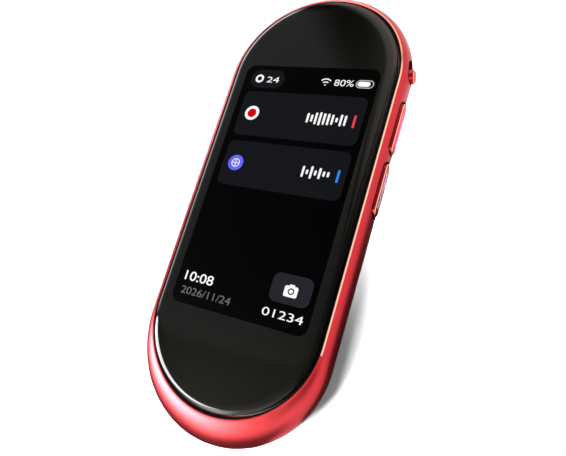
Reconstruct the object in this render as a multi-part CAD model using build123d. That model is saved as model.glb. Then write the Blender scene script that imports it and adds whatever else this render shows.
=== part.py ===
from build123d import *
import os
from math import atan2, cos, degrees, pi, radians, sin, sqrt

# Handheld translator, lying on its back, in millimetres.
# Origin: centre of the flat back, between the two end arcs' centres.
# +X towards the side keys, +Y towards the top end, +Z out of the screen.

# ---- outer form: every level is a stadium, two half circles joined by straight sides ----
arc_centre_y = 34.26          # end arcs' centres lie at y = +-this at the rim
widest_radius = 25.5
widest_height = 6.36
rim_inset = 2.0               # rim's outer edge, inside the widest level
rim_height = 10.7             # rim above the back
rim_start_angle = 25.0        # how far down the shoulder's quarter ellipse the wall starts, degrees
back_inset = 6.7              # where the side meets the flat back, inside the widest level
chin_reach = 4.6              # how far the bottom end runs out at the widest level
chin_reach_back = 1.4         # and where it meets the back
upper_levels = 5
lower_levels = 5

# ---- shell ----
rim_land = 0.45               # polished flat of the rim
rim_edge_chamfer = 0.4        # inside it
ledge_height = 8.3            # ledge that carries the mid frame
side_wall = 3.9               # from the pocket to the widest level
floor_height = 2.0            # top of the shell's floor lip
floor_lip = 4.4               # from the pocket in to the rear opening
rear_ledge = 1.15             # carries the rear cover's edge
chin_pocket_width = 24.0
chin_pocket_reach = 2.64      # past the round pocket's end
chin_pocket_corner = 2.0
tool_run = 2.0                # how far a cut runs past the surface that it opens

# ---- screw lugs on the pocket's wall ----
lug_inset = 2.2               # lug's centre, inside the pocket's wall
lug_radius = 1.9
lug_depth = 3.6
end_lug_angle = 52.0          # of the two lugs at each end, from the sideways direction
side_lug_pitch = 24.0         # of the lugs beside the battery
frame_screw_radius = 0.6
frame_screw_length = 2.9      # below the ledge
frame_screw_head_radius = 1.1
frame_screw_head_height = 0.45
screw_clearance = 0.06
screw_end_gap = 0.4

# ---- back ----
cover_thickness = 1.0
cover_gap = 0.1
cover_edge_chamfer = 0.15
cover_adhesive_width = 1.0
camera_inset = 15.76          # its axis, from the top end at the widest level
camera_window_radius = 3.25
camera_window_thickness = 0.6
camera_window_recess = 0.25
camera_bezel_wall = 1.0       # round the window
camera_bezel_lip = 0.35
camera_bezel_recess = 0.1
camera_bezel_flange = 0.9
camera_bezel_flange_thickness = 0.4
camera_module_size = 8.8
camera_barrel_radius = 2.6
camera_barrel_length = 2.2
flash_x = 8.8
flash_radius = 1.5
flash_recess = 0.15
flash_led_size = 2.4
flash_led_height = 0.7
speaker_hole_radius = 0.4
speaker_hole_pitch = 1.6
speaker_hole_columns = 9
speaker_hole_rows = 3
fit_gap = 0.1                 # between pieces that are dropped into one another

# ---- speaker ----
speaker_inset = 22.26         # its centre, from the bottom end at the widest level without the chin
speaker_width = 28.0
speaker_length = 15.0
speaker_height = 3.7
speaker_corner = 2.0
speaker_seat_gap = 0.05
speaker_mesh_thickness = 0.15
speaker_mesh_margin = 0.6
speaker_gasket_wall = 1.2

# ---- front stack ----
mid_frame_thickness = 0.8
mid_frame_gap = 0.25
bezel_gap = 0.35
bezel_height = 1.7
bezel_edge_chamfer = 0.12
glass_gap = 0.45              # between the glass and the rim's opening
glass_thickness = 0.95
glass_edge_round = 0.8
adhesive_thickness = 0.15
glass_adhesive_inset = 0.2
display_border = 2.0          # glass beside the display module
display_length = 74.6
display_centre_y = 1.1
display_thickness = 1.1
display_corner = 2.4
display_gap = 0.3
display_adhesive_inset = 0.4
foam_side_margin = 2.2
foam_end_margin = 4.0
display_flex_width = 12.0
display_flex_run = 5.0        # from its fold back to the end of its connector
display_flex_tail = 2.4       # under the display's edge
flex_thickness = 0.15
flex_slot_margin = 0.6

# ---- boards; places in y on the main board are measured down from its top end ----
board_thickness = 0.8
main_board_drop = 1.2         # its top, below the ledge
main_board_length = 34.86
board_edge_gap = 1.0
board_key_inset = 3.1         # the board stays this far inside the pocket beside the keys
board_key_end = 10.9          # where the cut beside the keys ends
board_lug_gap = 0.4
main_post_radius = 1.5
board_screw_radius = 0.5
board_screw_head_radius = 0.95
board_screw_head_height = 0.4
post_screw_depth = 1.7        # screw's length past the board, into its post
main_board_posts = ((-14.0, 14.9), (12.2, 10.5), (0.0, 24.7))
shield_height = 1.3
shield_wall = 0.2
shield_corner = 0.6
modem_shield_x = 9.5
modem_shield_inset = 14.3     # its upper side, below the board's top end
modem_shield_width = 8.0
modem_shield_length = 8.0
processor_shield_x = 8.0
processor_shield_width = 12.0
shield_gap = 1.5              # between the two shields
shield_connector_gap = 0.7    # from the lower one to the connectors
connector_height = 0.75
connector_length = 2.6
connector_inset = 0.8         # from the board's edge
flex_lane = (-6.0, -0.4)      # x range of the cable that joins the two boards
lead_lane = (5.0, 9.0)        # x range of the battery's lead
flex_corner_gap = 0.8         # between the battery's ends and the cable

# ---- sub board in the chin; its posts are placed from its outer edge ----
sub_board_drop = 1.57         # its top, below the ledge
sub_board_lug_gap = 0.1       # beside the lower end's lugs
sub_board_length = 11.0
sub_board_gap = 0.3           # to the chin pocket's end
sub_board_corner = 1.0
sub_board_posts = ((7.6, 8.8), (-7.6, 3.6))

# ---- battery ----
battery_board_gap = 2.0       # to the main board
battery_speaker_gap = 4.0
battery_lug_gap = 0.3
battery_thickness = 5.2
battery_corner = 2.0
battery_edge_round = 0.8
battery_adhesive_margin = 4.0
battery_protection_size = (14.0, 1.6, 2.2)
battery_protection_x = 8.0

# ---- USB-C receptacle ----
usb_width = 8.94
usb_height = 3.16
usb_depth = 7.35
usb_wall = 0.3
usb_reach = 2.64              # its mouth, past the widest level's end without the chin
usb_wall_gap = 0.12
usb_tongue_width = 6.6
usb_tongue_height = 0.7
usb_tongue_length = 5.2
usb_base_length = 1.2

# ---- microphones ----
microphone_width = 2.7
microphone_length = 3.2
microphone_height = 1.0
microphone_hole_radius = 0.5
main_microphone_x = 8.6
main_microphone_hole = 0.73   # its sound hole, below the sub board
noise_microphone_x = -6.0
noise_microphone_inset = 5.66  # from the pocket's top end

# ---- talk keys on the right side ----
key_drop = 1.45               # the keys' and the switch's centre line, below the ledge
key_hole_radius = 1.8
key_hole_length = 14.3
key_gap = 0.16
key_proud = 0.6
key_edge_round = 0.3
key_travel = 0.35
key_place = 12.01             # upper key's centre, below the top arc's centre
key_pitch = 16.4
key_shoulder_depth = 1.9      # below the widest level
key_flange_step = 0.4
key_flange_thickness = 0.6
key_stop_gap = 0.1
key_nub_width = 2.0
key_nub_gap = 0.05
key_inlay_length = 10.3
key_inlay_radius = 0.28
key_inlay_depth = 0.35
key_inlay_sunk = 0.03
dome_height = 0.4
dome_width = 3.2
dome_radius = 1.1
side_flex_inset = 0.7         # key cable's inner face, inside the pocket's wall
side_flex_reach = 5.0         # past the lower key's centre
side_tail_place = 6.8         # cable's tail, past the upper key's centre
side_tail_width = 3.0
side_tail_overlap = 2.6       # of the tail on the main board
side_bracket_thickness = 0.5
side_bracket_foot = 2.2
side_bracket_reach = 6.0      # past each key's centre
side_part_height = 2.8
side_part_gap = 0.05          # under the mid frame

# ---- slide switch, just past the start of the top end arc ----
switch_arc_place = 4.1        # along the side, from the end of the straight part
switch_slot_radius = 1.95
switch_slot_length = 6.5
switch_slot_depth = 1.7
knob_gap = 0.2                # round the knob, in its slot
knob_proud = 0.85
knob_edge_round = 0.35
knob_travel = 2.4
knob_seat_gap = 0.1
liner_thickness = 0.4
liner_gap = 0.05
stem_width = 1.6
stem_height = 1.0
stem_gap = 0.12
switch_body_depth = 1.7
switch_body_length = 7.2
switch_groove_depth = 0.8
switch_body_gap = 0.1

# ---- SIM tray on the left side ----
tray_place = 6.26             # its centre, below the top arc's centre
tray_drop = 0.7               # its centre plane, below the main board
tray_head_length = 13.0
tray_head_height = 2.0
tray_head_depth = 1.6
tray_plate_width = 10.6
tray_plate_thickness = 0.8
tray_plate_reach = 13.6       # into the pocket, from its wall
tray_gap = 0.1
card_width = 8.9
card_length = 12.4
card_border = 0.8
reader_wall = 0.15
reader_wall_gap = 1.2         # between the reader's mouth and the pocket's wall
eject_hole_radius = 0.45
eject_hole_inset = 1.6
eject_hole_depth = 1.0

# ---- antennas: strips on the pocket's end walls, from angle to angle ----
antenna_thickness = 0.3
antenna_height = 3.4
antenna_bottom = 3.0
antenna_gap = 0.05
upper_antenna_angles = (66.0, 100.0)
lower_antenna_angles = (192.0, 218.0)

# ---- radii and places that follow ----
rim_radius = widest_radius - rim_inset
rim_opening_radius = rim_radius - rim_land - rim_edge_chamfer
back_radius = widest_radius - back_inset
pocket_radius = widest_radius - side_wall
rear_opening_radius = pocket_radius - floor_lip
rear_recess_radius = rear_opening_radius + rear_ledge
glass_radius = rim_opening_radius - glass_gap
lug_distance = pocket_radius - lug_inset
display_width = 2 * (glass_radius - display_border)
key_shoulder_x = widest_radius - key_shoulder_depth
side_flex_x = pocket_radius - side_flex_inset
board_key_side = pocket_radius - board_key_inset
knob_radius = switch_slot_radius - knob_gap
camera_bezel_radius = camera_window_radius + camera_bezel_wall
camera_y = arc_centre_y + widest_radius - camera_inset
speaker_y = speaker_inset - arc_centre_y - widest_radius
upper_key_y = arc_centre_y - key_place
lower_key_y = upper_key_y - key_pitch
tray_y = arc_centre_y - tray_place
tray_end = pocket_radius - tray_plate_reach
chin_pocket_end = arc_centre_y + pocket_radius + chin_pocket_reach
usb_mouth = arc_centre_y + widest_radius + usb_reach
main_board_end = arc_centre_y + pocket_radius - board_edge_gap
main_board_start = main_board_end - main_board_length
sub_board_start = chin_pocket_end - sub_board_gap
sub_board_end = sub_board_start - sub_board_length
sub_board_side = lug_distance * cos(radians(end_lug_angle)) - lug_radius - sub_board_lug_gap
battery_end_top = main_board_start - battery_board_gap
battery_end_bottom = speaker_y + speaker_length / 2 + battery_speaker_gap
battery_length = battery_end_top - battery_end_bottom
battery_centre_y = (battery_end_top + battery_end_bottom) / 2
battery_width = 2 * (lug_distance - lug_radius - battery_lug_gap)

# ---- heights that follow ----
main_board_top = ledge_height - main_board_drop
sub_board_top = ledge_height - sub_board_drop
key_height = ledge_height - key_drop
mid_frame_top = ledge_height + mid_frame_thickness
bezel_top = mid_frame_top + bezel_height
glass_bottom = bezel_top + adhesive_thickness
display_top = glass_bottom - adhesive_thickness
display_bottom = display_top - display_thickness
main_board_bottom = main_board_top - board_thickness
sub_board_bottom = sub_board_top - board_thickness
tray_height = main_board_bottom - tray_drop
usb_centre_height = sub_board_bottom - usb_height / 2
cover_adhesive_top = cover_thickness + adhesive_thickness
battery_top = ledge_height - adhesive_thickness
battery_bottom = battery_top - battery_thickness

written = {}


def keep(name, shape, colour):
    # a node holds plain solids; several solids stay a group
    solids = list(shape.solids())
    shape = solids[0] if len(solids) == 1 else Compound(solids)
    shape.color = Color(*colour)
    shape.label = name
    written[name] = shape


def stadium_wire(radius, height, reach=0.0):
    # one level of the outer form; reach moves the bottom arc's centre outwards
    low = -arc_centre_y - reach
    return Wire([
        Edge.make_line((radius, low, height), (radius, arc_centre_y, height)),
        Edge.make_circle(radius, Plane((0, arc_centre_y, height)), 0, 180),
        Edge.make_line((-radius, arc_centre_y, height), (-radius, low, height)),
        Edge.make_circle(radius, Plane((0, low, height)), 180, 360),
    ])


def stadium(radius, low, high):
    # upright prism with the shell's own end arc centres
    face = Face(stadium_wire(radius, low))
    return extrude(face, high - low, dir=(0, 0, 1))


def upper_wall(share):
    # shoulder from the rim (0) to the widest level (1)
    angle = radians(rim_start_angle + (90 - rim_start_angle) * share)
    start = radians(rim_start_angle)
    out = (widest_radius - rim_radius) / (1 - sin(start))
    up = (rim_height - widest_height) / cos(start)
    return widest_radius - out * (1 - sin(angle)), widest_height + up * cos(angle)


def lower_wall(share):
    # quarter ellipse from the widest level (0) to the flat back (1)
    angle = pi / 2 * share
    radius = back_radius + (widest_radius - back_radius) * cos(angle)
    return radius, widest_height * (1 - sin(angle))


def upper_reach(radius):
    return chin_reach * (radius - rim_radius) / (widest_radius - rim_radius)


def lower_reach(radius):
    share = (radius - back_radius) / (widest_radius - back_radius)
    return chin_reach_back + (chin_reach - chin_reach_back) * share


def outer_form():
    upper = []
    for step in range(upper_levels + 1):
        radius, height = upper_wall(step / upper_levels)
        upper.append(stadium_wire(radius, height, upper_reach(radius)))
    lower = [upper[-1]]
    for step in range(1, lower_levels + 1):
        radius, height = lower_wall(step / lower_levels)
        lower.append(stadium_wire(radius, height, lower_reach(radius)))
    return Solid.make_loft(upper) + Solid.make_loft(lower)


def block(x_range, y_range, z_range):
    size = [high - low for low, high in (x_range, y_range, z_range)]
    corner = [low for low, high in (x_range, y_range, z_range)]
    return Pos(*corner) * Box(*size, align=(Align.MIN, Align.MIN, Align.MIN))


def rounded_block(width, length, low, high, corner, centre=(0, 0)):
    sketch = Pos(centre[0], centre[1], low) * RectangleRounded(width, length, corner)
    return extrude(sketch, high - low)


def post(radius, low, high, centre=(0, 0)):
    return Pos(centre[0], centre[1], low) * Cylinder(
        radius, high - low, align=(Align.CENTER, Align.CENTER, Align.MIN))


def side_plane(x, y, height, turn=0.0):
    # sketch plane on the side: its x runs along the side, its y is up, its z points outwards
    outward = Vector(cos(radians(turn)), sin(radians(turn)), 0)
    along = Vector(-sin(radians(turn)), cos(radians(turn)), 0)
    return Plane(origin=(x, y, height), x_dir=along, z_dir=outward)


def pill(plane, radius, length, inner, outer, shift=0.0):
    # pill-shaped prism across a side plane, from inner to outer along its normal
    sketch = SlotOverall(length, 2 * radius) if length > 2 * radius + 0.01 else Circle(radius)
    return extrude(plane.offset(inner) * Pos(shift, 0) * sketch, outer - inner)


def side_block(plane, along, up, depth):
    # box on a side plane: ranges along it, upwards and along its normal
    box = block(along, up, depth)
    return plane.location * box


def ring_sector(inner, outer, low, high, start, end, centre_y):
    sketch = Sketch() + make_face([
        Edge.make_circle(outer, Plane.XY, start, end),
        Edge.make_line(polar(outer, end), polar(inner, end)),
        Edge.make_circle(inner, Plane.XY, start, end),
        Edge.make_line(polar(inner, start), polar(outer, start)),
    ])
    return Pos(0, centre_y, low) * extrude(sketch, high - low)


def polar(radius, angle):
    return (radius * cos(radians(angle)), radius * sin(radians(angle)), 0)


def strip(points, thickness, x_range):
    # flat cable: a bent line of (y, z) points, given thickness and width
    path = Polyline(*[(y, z) for y, z in points])
    line = offset(path, thickness / 2, kind=Kind.INTERSECTION)
    plane = Plane(origin=(x_range[0], 0, 0), x_dir=(0, 1, 0), z_dir=(1, 0, 0))
    return extrude(plane * make_face(line.edges()), x_range[1] - x_range[0])


def lug_places():
    # centre and outward direction of each screw lug; the right side's upper one gives way to the keys
    places = []
    for end in (1, -1):
        for side in (1, -1):
            out = (side * cos(radians(end_lug_angle)), end * sin(radians(end_lug_angle)))
            places.append(((lug_distance * out[0], end * arc_centre_y + lug_distance * out[1]), out))
    for side, row in ((-1, -1), (-1, 1), (1, -1)):
        place = (side * lug_distance, battery_centre_y + row * side_lug_pitch / 2)
        places.append((place, (side, 0)))
    return places


# ---- housing ----

key_planes = {
    "upper": side_plane(0, upper_key_y, key_height),
    "lower": side_plane(0, lower_key_y, key_height),
}
switch_turn = degrees(switch_arc_place / widest_radius)
switch_plane = side_plane(0, arc_centre_y, key_height, switch_turn)
knob_rest = -(switch_slot_length / 2 - switch_slot_radius) + (
    switch_slot_length - 2 * switch_slot_radius - knob_travel) / 2
usb_plane = Plane(origin=(0, 0, usb_centre_height), x_dir=(1, 0, 0), z_dir=(0, -1, 0))
tray_plane = Plane(origin=(0, tray_y, tray_height), x_dir=(0, -1, 0), z_dir=(-1, 0, 0))
tray_head_inner = widest_radius - tray_head_depth
form = outer_form()


def usb_pill(grow, near, far):
    width, height = usb_width + 2 * grow, usb_height + 2 * grow
    return extrude(usb_plane.offset(near) * SlotOverall(width, height), far - near)


def outer_shell():
    shell = form - stadium(rim_opening_radius, ledge_height, rim_height + tool_run) - rim_flare()
    shell -= stadium(pocket_radius, floor_height, ledge_height + tool_run / 4)
    shell -= stadium(rear_opening_radius, -tool_run, floor_height + tool_run / 4)
    shell -= stadium(rear_recess_radius, -tool_run, cover_adhesive_top)
    half = chin_pocket_width / 2
    shell -= extrude(
        Pos(0, -chin_pocket_end / 2 - arc_centre_y / 2, floor_height)
        * RectangleRounded(2 * half, chin_pocket_end - arc_centre_y, chin_pocket_corner),
        ledge_height - floor_height)
    for (x, y), out in lug_places():
        lug = post(lug_radius, ledge_height - lug_depth, ledge_height, (x, y))
        reach = lug_inset + side_wall / 10
        arm = Box(reach, 2 * lug_radius, lug_depth, align=(Align.MIN, Align.CENTER, Align.MIN))
        turn = degrees(atan2(out[1], out[0]))
        shell += lug + Pos(x, y, ledge_height - lug_depth) * Rot(0, 0, turn) * arm
        shell -= post(frame_screw_radius + screw_clearance,
                      ledge_height - frame_screw_length, ledge_height + tool_run, (x, y))
    for plane in key_planes.values():
        shell -= pill(plane, key_hole_radius, key_hole_length, key_shoulder_x, widest_radius + tool_run)
        shell -= pill(plane, key_hole_radius + key_flange_step,
                      key_hole_length + 2 * key_flange_step, pocket_radius - tool_run, key_shoulder_x)
    track = widest_radius - switch_slot_depth
    shell -= pill(switch_plane, switch_slot_radius, switch_slot_length, track, widest_radius + tool_run)
    stem_run = stem_width + knob_travel + 2 * stem_gap
    stem_up = stem_height / 2 + stem_gap
    middle = knob_rest + knob_travel / 2
    shell -= side_block(switch_plane, (middle - stem_run / 2, middle + stem_run / 2),
                        (-stem_up, stem_up), (pocket_radius - tool_run, track + tool_run / 4))
    shell -= usb_pill(usb_wall_gap, arc_centre_y + pocket_radius, usb_mouth + 2 * tool_run)
    shell -= microphone_hole(main_microphone_x, -1, sub_board_bottom - main_microphone_hole)
    shell -= microphone_hole(noise_microphone_x, 1, main_board_bottom - microphone_height / 2)
    shell -= pill(tray_plane, tray_head_height / 2 + tray_gap, tray_head_length + 2 * tray_gap,
                  tray_head_inner - tray_gap, widest_radius + tool_run)
    half = tray_plate_width / 2 + tray_gap
    thick = tray_plate_thickness / 2 + tray_gap
    shell -= side_block(tray_plane, (-half, half), (-thick, thick),
                        (pocket_radius - tool_run, tray_head_inner))
    return shell


def rim_flare():
    # opens the rim's inner edge by a 45 degree chamfer
    edge = rim_edge_chamfer
    return Solid.make_loft([
        stadium_wire(rim_opening_radius, rim_height - edge),
        stadium_wire(rim_opening_radius + 2 * edge, rim_height + edge),
    ], ruled=True)


def microphone_hole(x, end, height):
    far = arc_centre_y + widest_radius + chin_reach + tool_run
    near = arc_centre_y + pocket_radius - 2 * tool_run
    hole = Cylinder(microphone_hole_radius, far - near, align=(Align.CENTER, Align.CENTER, Align.MIN))
    return Pos(x, end * near, height) * Rot(-90 * end, 0, 0) * hole


def speaker_hole_places():
    # staggered rows: every other row has one hole fewer
    for row in range(speaker_hole_rows):
        count = speaker_hole_columns - row % 2
        for column in range(count):
            x = (column - (count - 1) / 2) * speaker_hole_pitch
            y = (row - (speaker_hole_rows - 1) / 2) * speaker_hole_pitch * sqrt(3) / 2
            yield x, speaker_y + y


def rear_cover():
    cover = stadium(rear_recess_radius - cover_gap, 0, cover_thickness)
    cover = chamfer(cover.edges().group_by(Axis.Z)[0], cover_edge_chamfer)
    cover -= post(camera_bezel_radius + fit_gap, -tool_run, cover_thickness + tool_run, (0, camera_y))
    cover -= post(flash_radius + fit_gap, -tool_run, cover_thickness + tool_run, (flash_x, camera_y))
    return cover - [post(speaker_hole_radius, -tool_run, cover_thickness + tool_run, place)
                    for place in speaker_hole_places()]


def rear_cover_adhesive():
    outer = rear_recess_radius - cover_gap
    ring = stadium(outer, cover_thickness, cover_adhesive_top)
    return ring - stadium(outer - cover_adhesive_width, 0, cover_adhesive_top + tool_run)


# ---- front ----

def board_posts():
    # places in the plane of each board's posts, with the board's top that they stand on
    for x, y in main_board_posts:
        yield (x, main_board_end - y), main_board_top
    for x, y in sub_board_posts:
        yield (x, y - sub_board_start), sub_board_top


def mid_frame():
    plate = stadium(rim_opening_radius - mid_frame_gap, ledge_height, mid_frame_top)
    hole_radius = board_screw_radius + screw_clearance
    for place, low in board_posts():
        plate += post(main_post_radius, low, ledge_height, place)
        plate -= post(hole_radius, low - tool_run, low + post_screw_depth, place)
    for place, out in lug_places():
        plate -= post(frame_screw_radius + screw_clearance, 0, mid_frame_top + tool_run, place)
    half = display_flex_width / 2 + flex_slot_margin
    return plate - block((-half, half), flex_slot_range(), (0, mid_frame_top + tool_run))


def display_edge():
    return display_centre_y + display_length / 2


def flex_slot_range():
    start = display_edge() + 2 * display_gap
    return start, start + 2 * flex_slot_margin + flex_thickness


def bezel_frame():
    frame = stadium(rim_opening_radius - bezel_gap, mid_frame_top, bezel_top)
    top_edge = frame.edges().group_by(Axis.Z)[-1]
    frame = chamfer(top_edge, bezel_edge_chamfer)
    window = (display_width + 2 * display_gap, display_length + 2 * display_gap)
    frame -= rounded_block(*window, 0, bezel_top + tool_run, display_corner, (0, display_centre_y))
    half = display_flex_width / 2 + flex_slot_margin
    relief = (display_edge() - display_flex_tail, flex_slot_range()[1] + flex_slot_margin)
    frame -= block((-half, half), relief, (0, display_bottom + flex_slot_margin))
    for place, out in lug_places():
        frame -= post(frame_screw_head_radius + 2 * fit_gap, 0,
                      mid_frame_top + frame_screw_head_height + fit_gap, place)
    return frame


def front_glass():
    glass = stadium(glass_radius, glass_bottom, glass_bottom + glass_thickness)
    return fillet(glass.edges().group_by(Axis.Z)[-1], glass_edge_round)


def glass_adhesive():
    ring = stadium(glass_radius - glass_adhesive_inset, bezel_top, glass_bottom)
    window = (display_width + 2 * display_gap, display_length + 2 * display_gap)
    return ring - rounded_block(*window, 0, glass_bottom + tool_run, display_corner, (0, display_centre_y))


def display_box(margin, low, high):
    return rounded_block(display_width - 2 * margin, display_length - 2 * margin, low, high,
                         display_corner - margin, (0, display_centre_y))


def display_foam():
    return rounded_block(display_width - 2 * foam_side_margin, display_length - 2 * foam_end_margin,
                         mid_frame_top, display_bottom, display_corner - foam_side_margin,
                         (0, display_centre_y))


def display_flex():
    level = display_bottom - flex_thickness / 2
    start, end = flex_slot_range()
    turn = (start + end) / 2
    low = main_board_top + connector_height + flex_thickness / 2
    points = [(display_edge() - display_flex_tail, level), (turn, level),
              (turn, low), (turn - display_flex_run, low)]
    return strip(points, flex_thickness, (-display_flex_width / 2, display_flex_width / 2))


def screw(place, under_head, head_radius, head_height, radius, length, up):
    # up is 1 when the head lies above the joint, -1 when it lies below
    head = (under_head, under_head + head_height) if up > 0 else (under_head - head_height, under_head)
    shank = (under_head - length, under_head) if up > 0 else (under_head, under_head + length)
    return post(head_radius, *head, place) + post(radius, *shank, place)


def frame_screws():
    length = mid_frame_thickness + frame_screw_length - screw_end_gap
    return Compound([
        screw(place, mid_frame_top, frame_screw_head_radius, frame_screw_head_height,
              frame_screw_radius, length, 1)
        for place, out in lug_places()])


def board_screws(board_top):
    bottom = board_top - board_thickness
    length = board_thickness + post_screw_depth - fit_gap
    return Compound([
        screw(place, bottom, board_screw_head_radius, board_screw_head_height,
              board_screw_radius, length, -1)
        for place, low in board_posts() if low == board_top])


# ---- boards and what they carry ----

def main_board():
    radius = pocket_radius - board_edge_gap
    low, high = main_board_bottom, main_board_top
    board = stadium(radius, low, high)
    board &= block((-radius, radius), (main_board_start, arc_centre_y + radius), (low, high))
    board -= block((board_key_side, widest_radius), (0, main_board_end - board_key_end),
                   (0, rim_height))
    clear = lug_radius + board_lug_gap
    for (x, y), out in lug_places():
        if y > main_board_start - clear:
            board -= post(clear, 0, rim_height, (x, y))
            arm = Box(widest_radius, 2 * clear, rim_height, align=(Align.MIN, Align.CENTER, Align.MIN))
            board -= Pos(x, y, 0) * Rot(0, 0, degrees(atan2(out[1], out[0]))) * arm
    hole_radius = board_screw_radius + screw_clearance
    for place, top in board_posts():
        board -= post(hole_radius, 0, rim_height, place)
    return board


def shield(x, width, y_range):
    centre = (x, sum(y_range) / 2)
    length = y_range[1] - y_range[0]
    low = main_board_bottom - shield_height
    can = rounded_block(width, length, low, main_board_bottom, shield_corner, centre)
    inside = rounded_block(width - 2 * shield_wall, length - 2 * shield_wall, low + shield_wall,
                           main_board_bottom + tool_run, shield_corner - shield_wall, centre)
    return can - inside


def modem_shield():
    top = main_board_end - modem_shield_inset
    return shield(modem_shield_x, modem_shield_width, (top - modem_shield_length, top))


def processor_shield():
    # fills the room between the modem's shield and the connectors at the board's lower edge
    top = main_board_end - modem_shield_inset - modem_shield_length - shield_gap
    low = main_board_start + connector_inset + connector_length + shield_connector_gap
    return shield(processor_shield_x, processor_shield_width, (low, top))


def board_connectors():
    # interboard cable's two, the battery's, and the display's on top of the main board
    under = (main_board_bottom - connector_height, main_board_bottom)
    over = (main_board_top, main_board_top + connector_height)
    sub = (sub_board_top, sub_board_top + connector_height)
    first = main_board_start + connector_inset
    last = -sub_board_end - connector_inset
    flex_end = sum(flex_slot_range()) / 2 - display_flex_run
    half = display_flex_width / 2
    return Compound([
        block(flex_lane, (first, first + connector_length), under),
        block(lead_lane, (first, first + connector_length), under),
        block((-half, half), (flex_end, flex_end + connector_length), over),
        block(flex_lane, (last - connector_length, last), sub),
    ])


def camera_module():
    base = cover_adhesive_top + camera_barrel_length
    body = rounded_block(camera_module_size, camera_module_size, base, main_board_bottom,
                         shield_corner, (0, camera_y))
    lens_end = camera_window_recess + camera_window_thickness + fit_gap
    body += post(camera_barrel_radius, lens_end, base, (0, camera_y))
    return body - post(camera_barrel_radius - 1.0, 0, lens_end + 0.8, (0, camera_y))


def camera_bezel():
    top = cover_thickness + camera_bezel_flange_thickness
    ring = post(camera_bezel_radius, camera_bezel_recess, top, (0, camera_y))
    ring += post(camera_bezel_radius + camera_bezel_flange, cover_thickness, top, (0, camera_y))
    ring -= post(camera_window_radius - camera_bezel_lip, 0, top + tool_run, (0, camera_y))
    ring -= post(camera_window_radius, 0, camera_window_recess + camera_window_thickness, (0, camera_y))
    return ring


def camera_window():
    return post(camera_window_radius, camera_window_recess,
                camera_window_recess + camera_window_thickness, (0, camera_y))


def flash_light_pipe():
    return post(flash_radius, flash_recess, main_board_bottom - flash_led_height, (flash_x, camera_y))


def flash_led():
    half = flash_led_size / 2
    return block((flash_x - half, flash_x + half), (camera_y - half, camera_y + half),
                 (main_board_bottom - flash_led_height, main_board_bottom))


def sub_board():
    board = rounded_block(2 * sub_board_side, sub_board_length, sub_board_bottom, sub_board_top,
                          sub_board_corner, (0, -(sub_board_start + sub_board_end) / 2))
    for place, top in board_posts():
        board -= post(board_screw_radius + screw_clearance, 0, rim_height, place)
    return board


def usb_receptacle():
    back = usb_mouth - usb_depth
    return usb_pill(0, back, usb_mouth) - usb_pill(-usb_wall, back + usb_wall, usb_mouth + tool_run)


def usb_contact_tongue():
    back = usb_mouth - usb_depth + usb_wall
    half = usb_tongue_width / 2
    thick = usb_tongue_height / 2
    tongue = block((-half, half), (-back - usb_tongue_length, -back),
                   (usb_centre_height - thick, usb_centre_height + thick))
    half = (usb_width - usb_height) / 2
    thick = usb_height / 2 - usb_wall
    base = block((-half, half), (-back - usb_base_length, -back),
                 (usb_centre_height - thick, usb_centre_height + thick))
    return tongue + base


def microphone(x, y, board_bottom):
    half = microphone_width / 2
    return block((x - half, x + half), (y, y + microphone_length),
                 (board_bottom - microphone_height, board_bottom))


# ---- battery ----

def battery():
    cell = rounded_block(battery_width, battery_length, battery_bottom, battery_top, battery_corner,
                         (0, battery_centre_y))
    return fillet(cell.edges().group_by(Axis.Z)[0], battery_edge_round)


def battery_adhesive():
    width, length = (size - 2 * battery_adhesive_margin for size in (battery_width, battery_length))
    return rounded_block(width, length, battery_top, ledge_height, battery_corner, (0, battery_centre_y))


def battery_protection_board():
    width, length, height = battery_protection_size
    x = battery_protection_x
    middle = main_board_bottom - connector_height
    return block((x - width / 2, x + width / 2), (battery_end_top, battery_end_top + length),
                 (middle - height / 2, middle + height / 2))


def battery_lead():
    level = main_board_bottom - connector_height
    end = main_board_start + connector_inset + connector_length
    return block(lead_lane, (battery_end_top + battery_protection_size[1], end),
                 (level - flex_thickness, level))


def interboard_flex():
    level = main_board_bottom - connector_height - flex_thickness / 2
    under = battery_bottom - flex_thickness / 2
    above = sub_board_top + connector_height + flex_thickness / 2
    top_turn = battery_end_top + flex_corner_gap
    low_turn = battery_end_bottom - flex_corner_gap
    last = -sub_board_end - connector_inset
    first = main_board_start + connector_inset
    points = [(first + connector_length, level), (top_turn, level), (top_turn, under),
              (low_turn, under), (low_turn, above), (last - connector_length, above)]
    return strip(points, flex_thickness, flex_lane)


# ---- speaker ----

def speaker_module():
    low = floor_height + speaker_seat_gap
    return rounded_block(speaker_width, speaker_length, low, low + speaker_height, speaker_corner,
                         (0, speaker_y))


def speaker_patch(margin, low, high):
    # covers all the sound holes, with a margin
    width = (speaker_hole_columns + 1) * speaker_hole_pitch + 2 * margin
    length = (speaker_hole_rows + 0.6) * speaker_hole_pitch + 2 * margin
    return rounded_block(width, length, low, high, speaker_hole_pitch + margin, (0, speaker_y))


def speaker_mesh():
    return speaker_patch(speaker_mesh_margin, cover_thickness, cover_thickness + speaker_mesh_thickness)


def speaker_gasket():
    low, high = cover_thickness + speaker_mesh_thickness, floor_height + speaker_seat_gap
    inner = speaker_mesh_margin - speaker_gasket_wall
    return speaker_patch(speaker_mesh_margin, low, high) - speaker_patch(inner, 0, high + tool_run)


# ---- side keys ----

def inlay_groove(plane, floor, top):
    return pill(plane, key_inlay_radius, key_inlay_length, floor, top)


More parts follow.
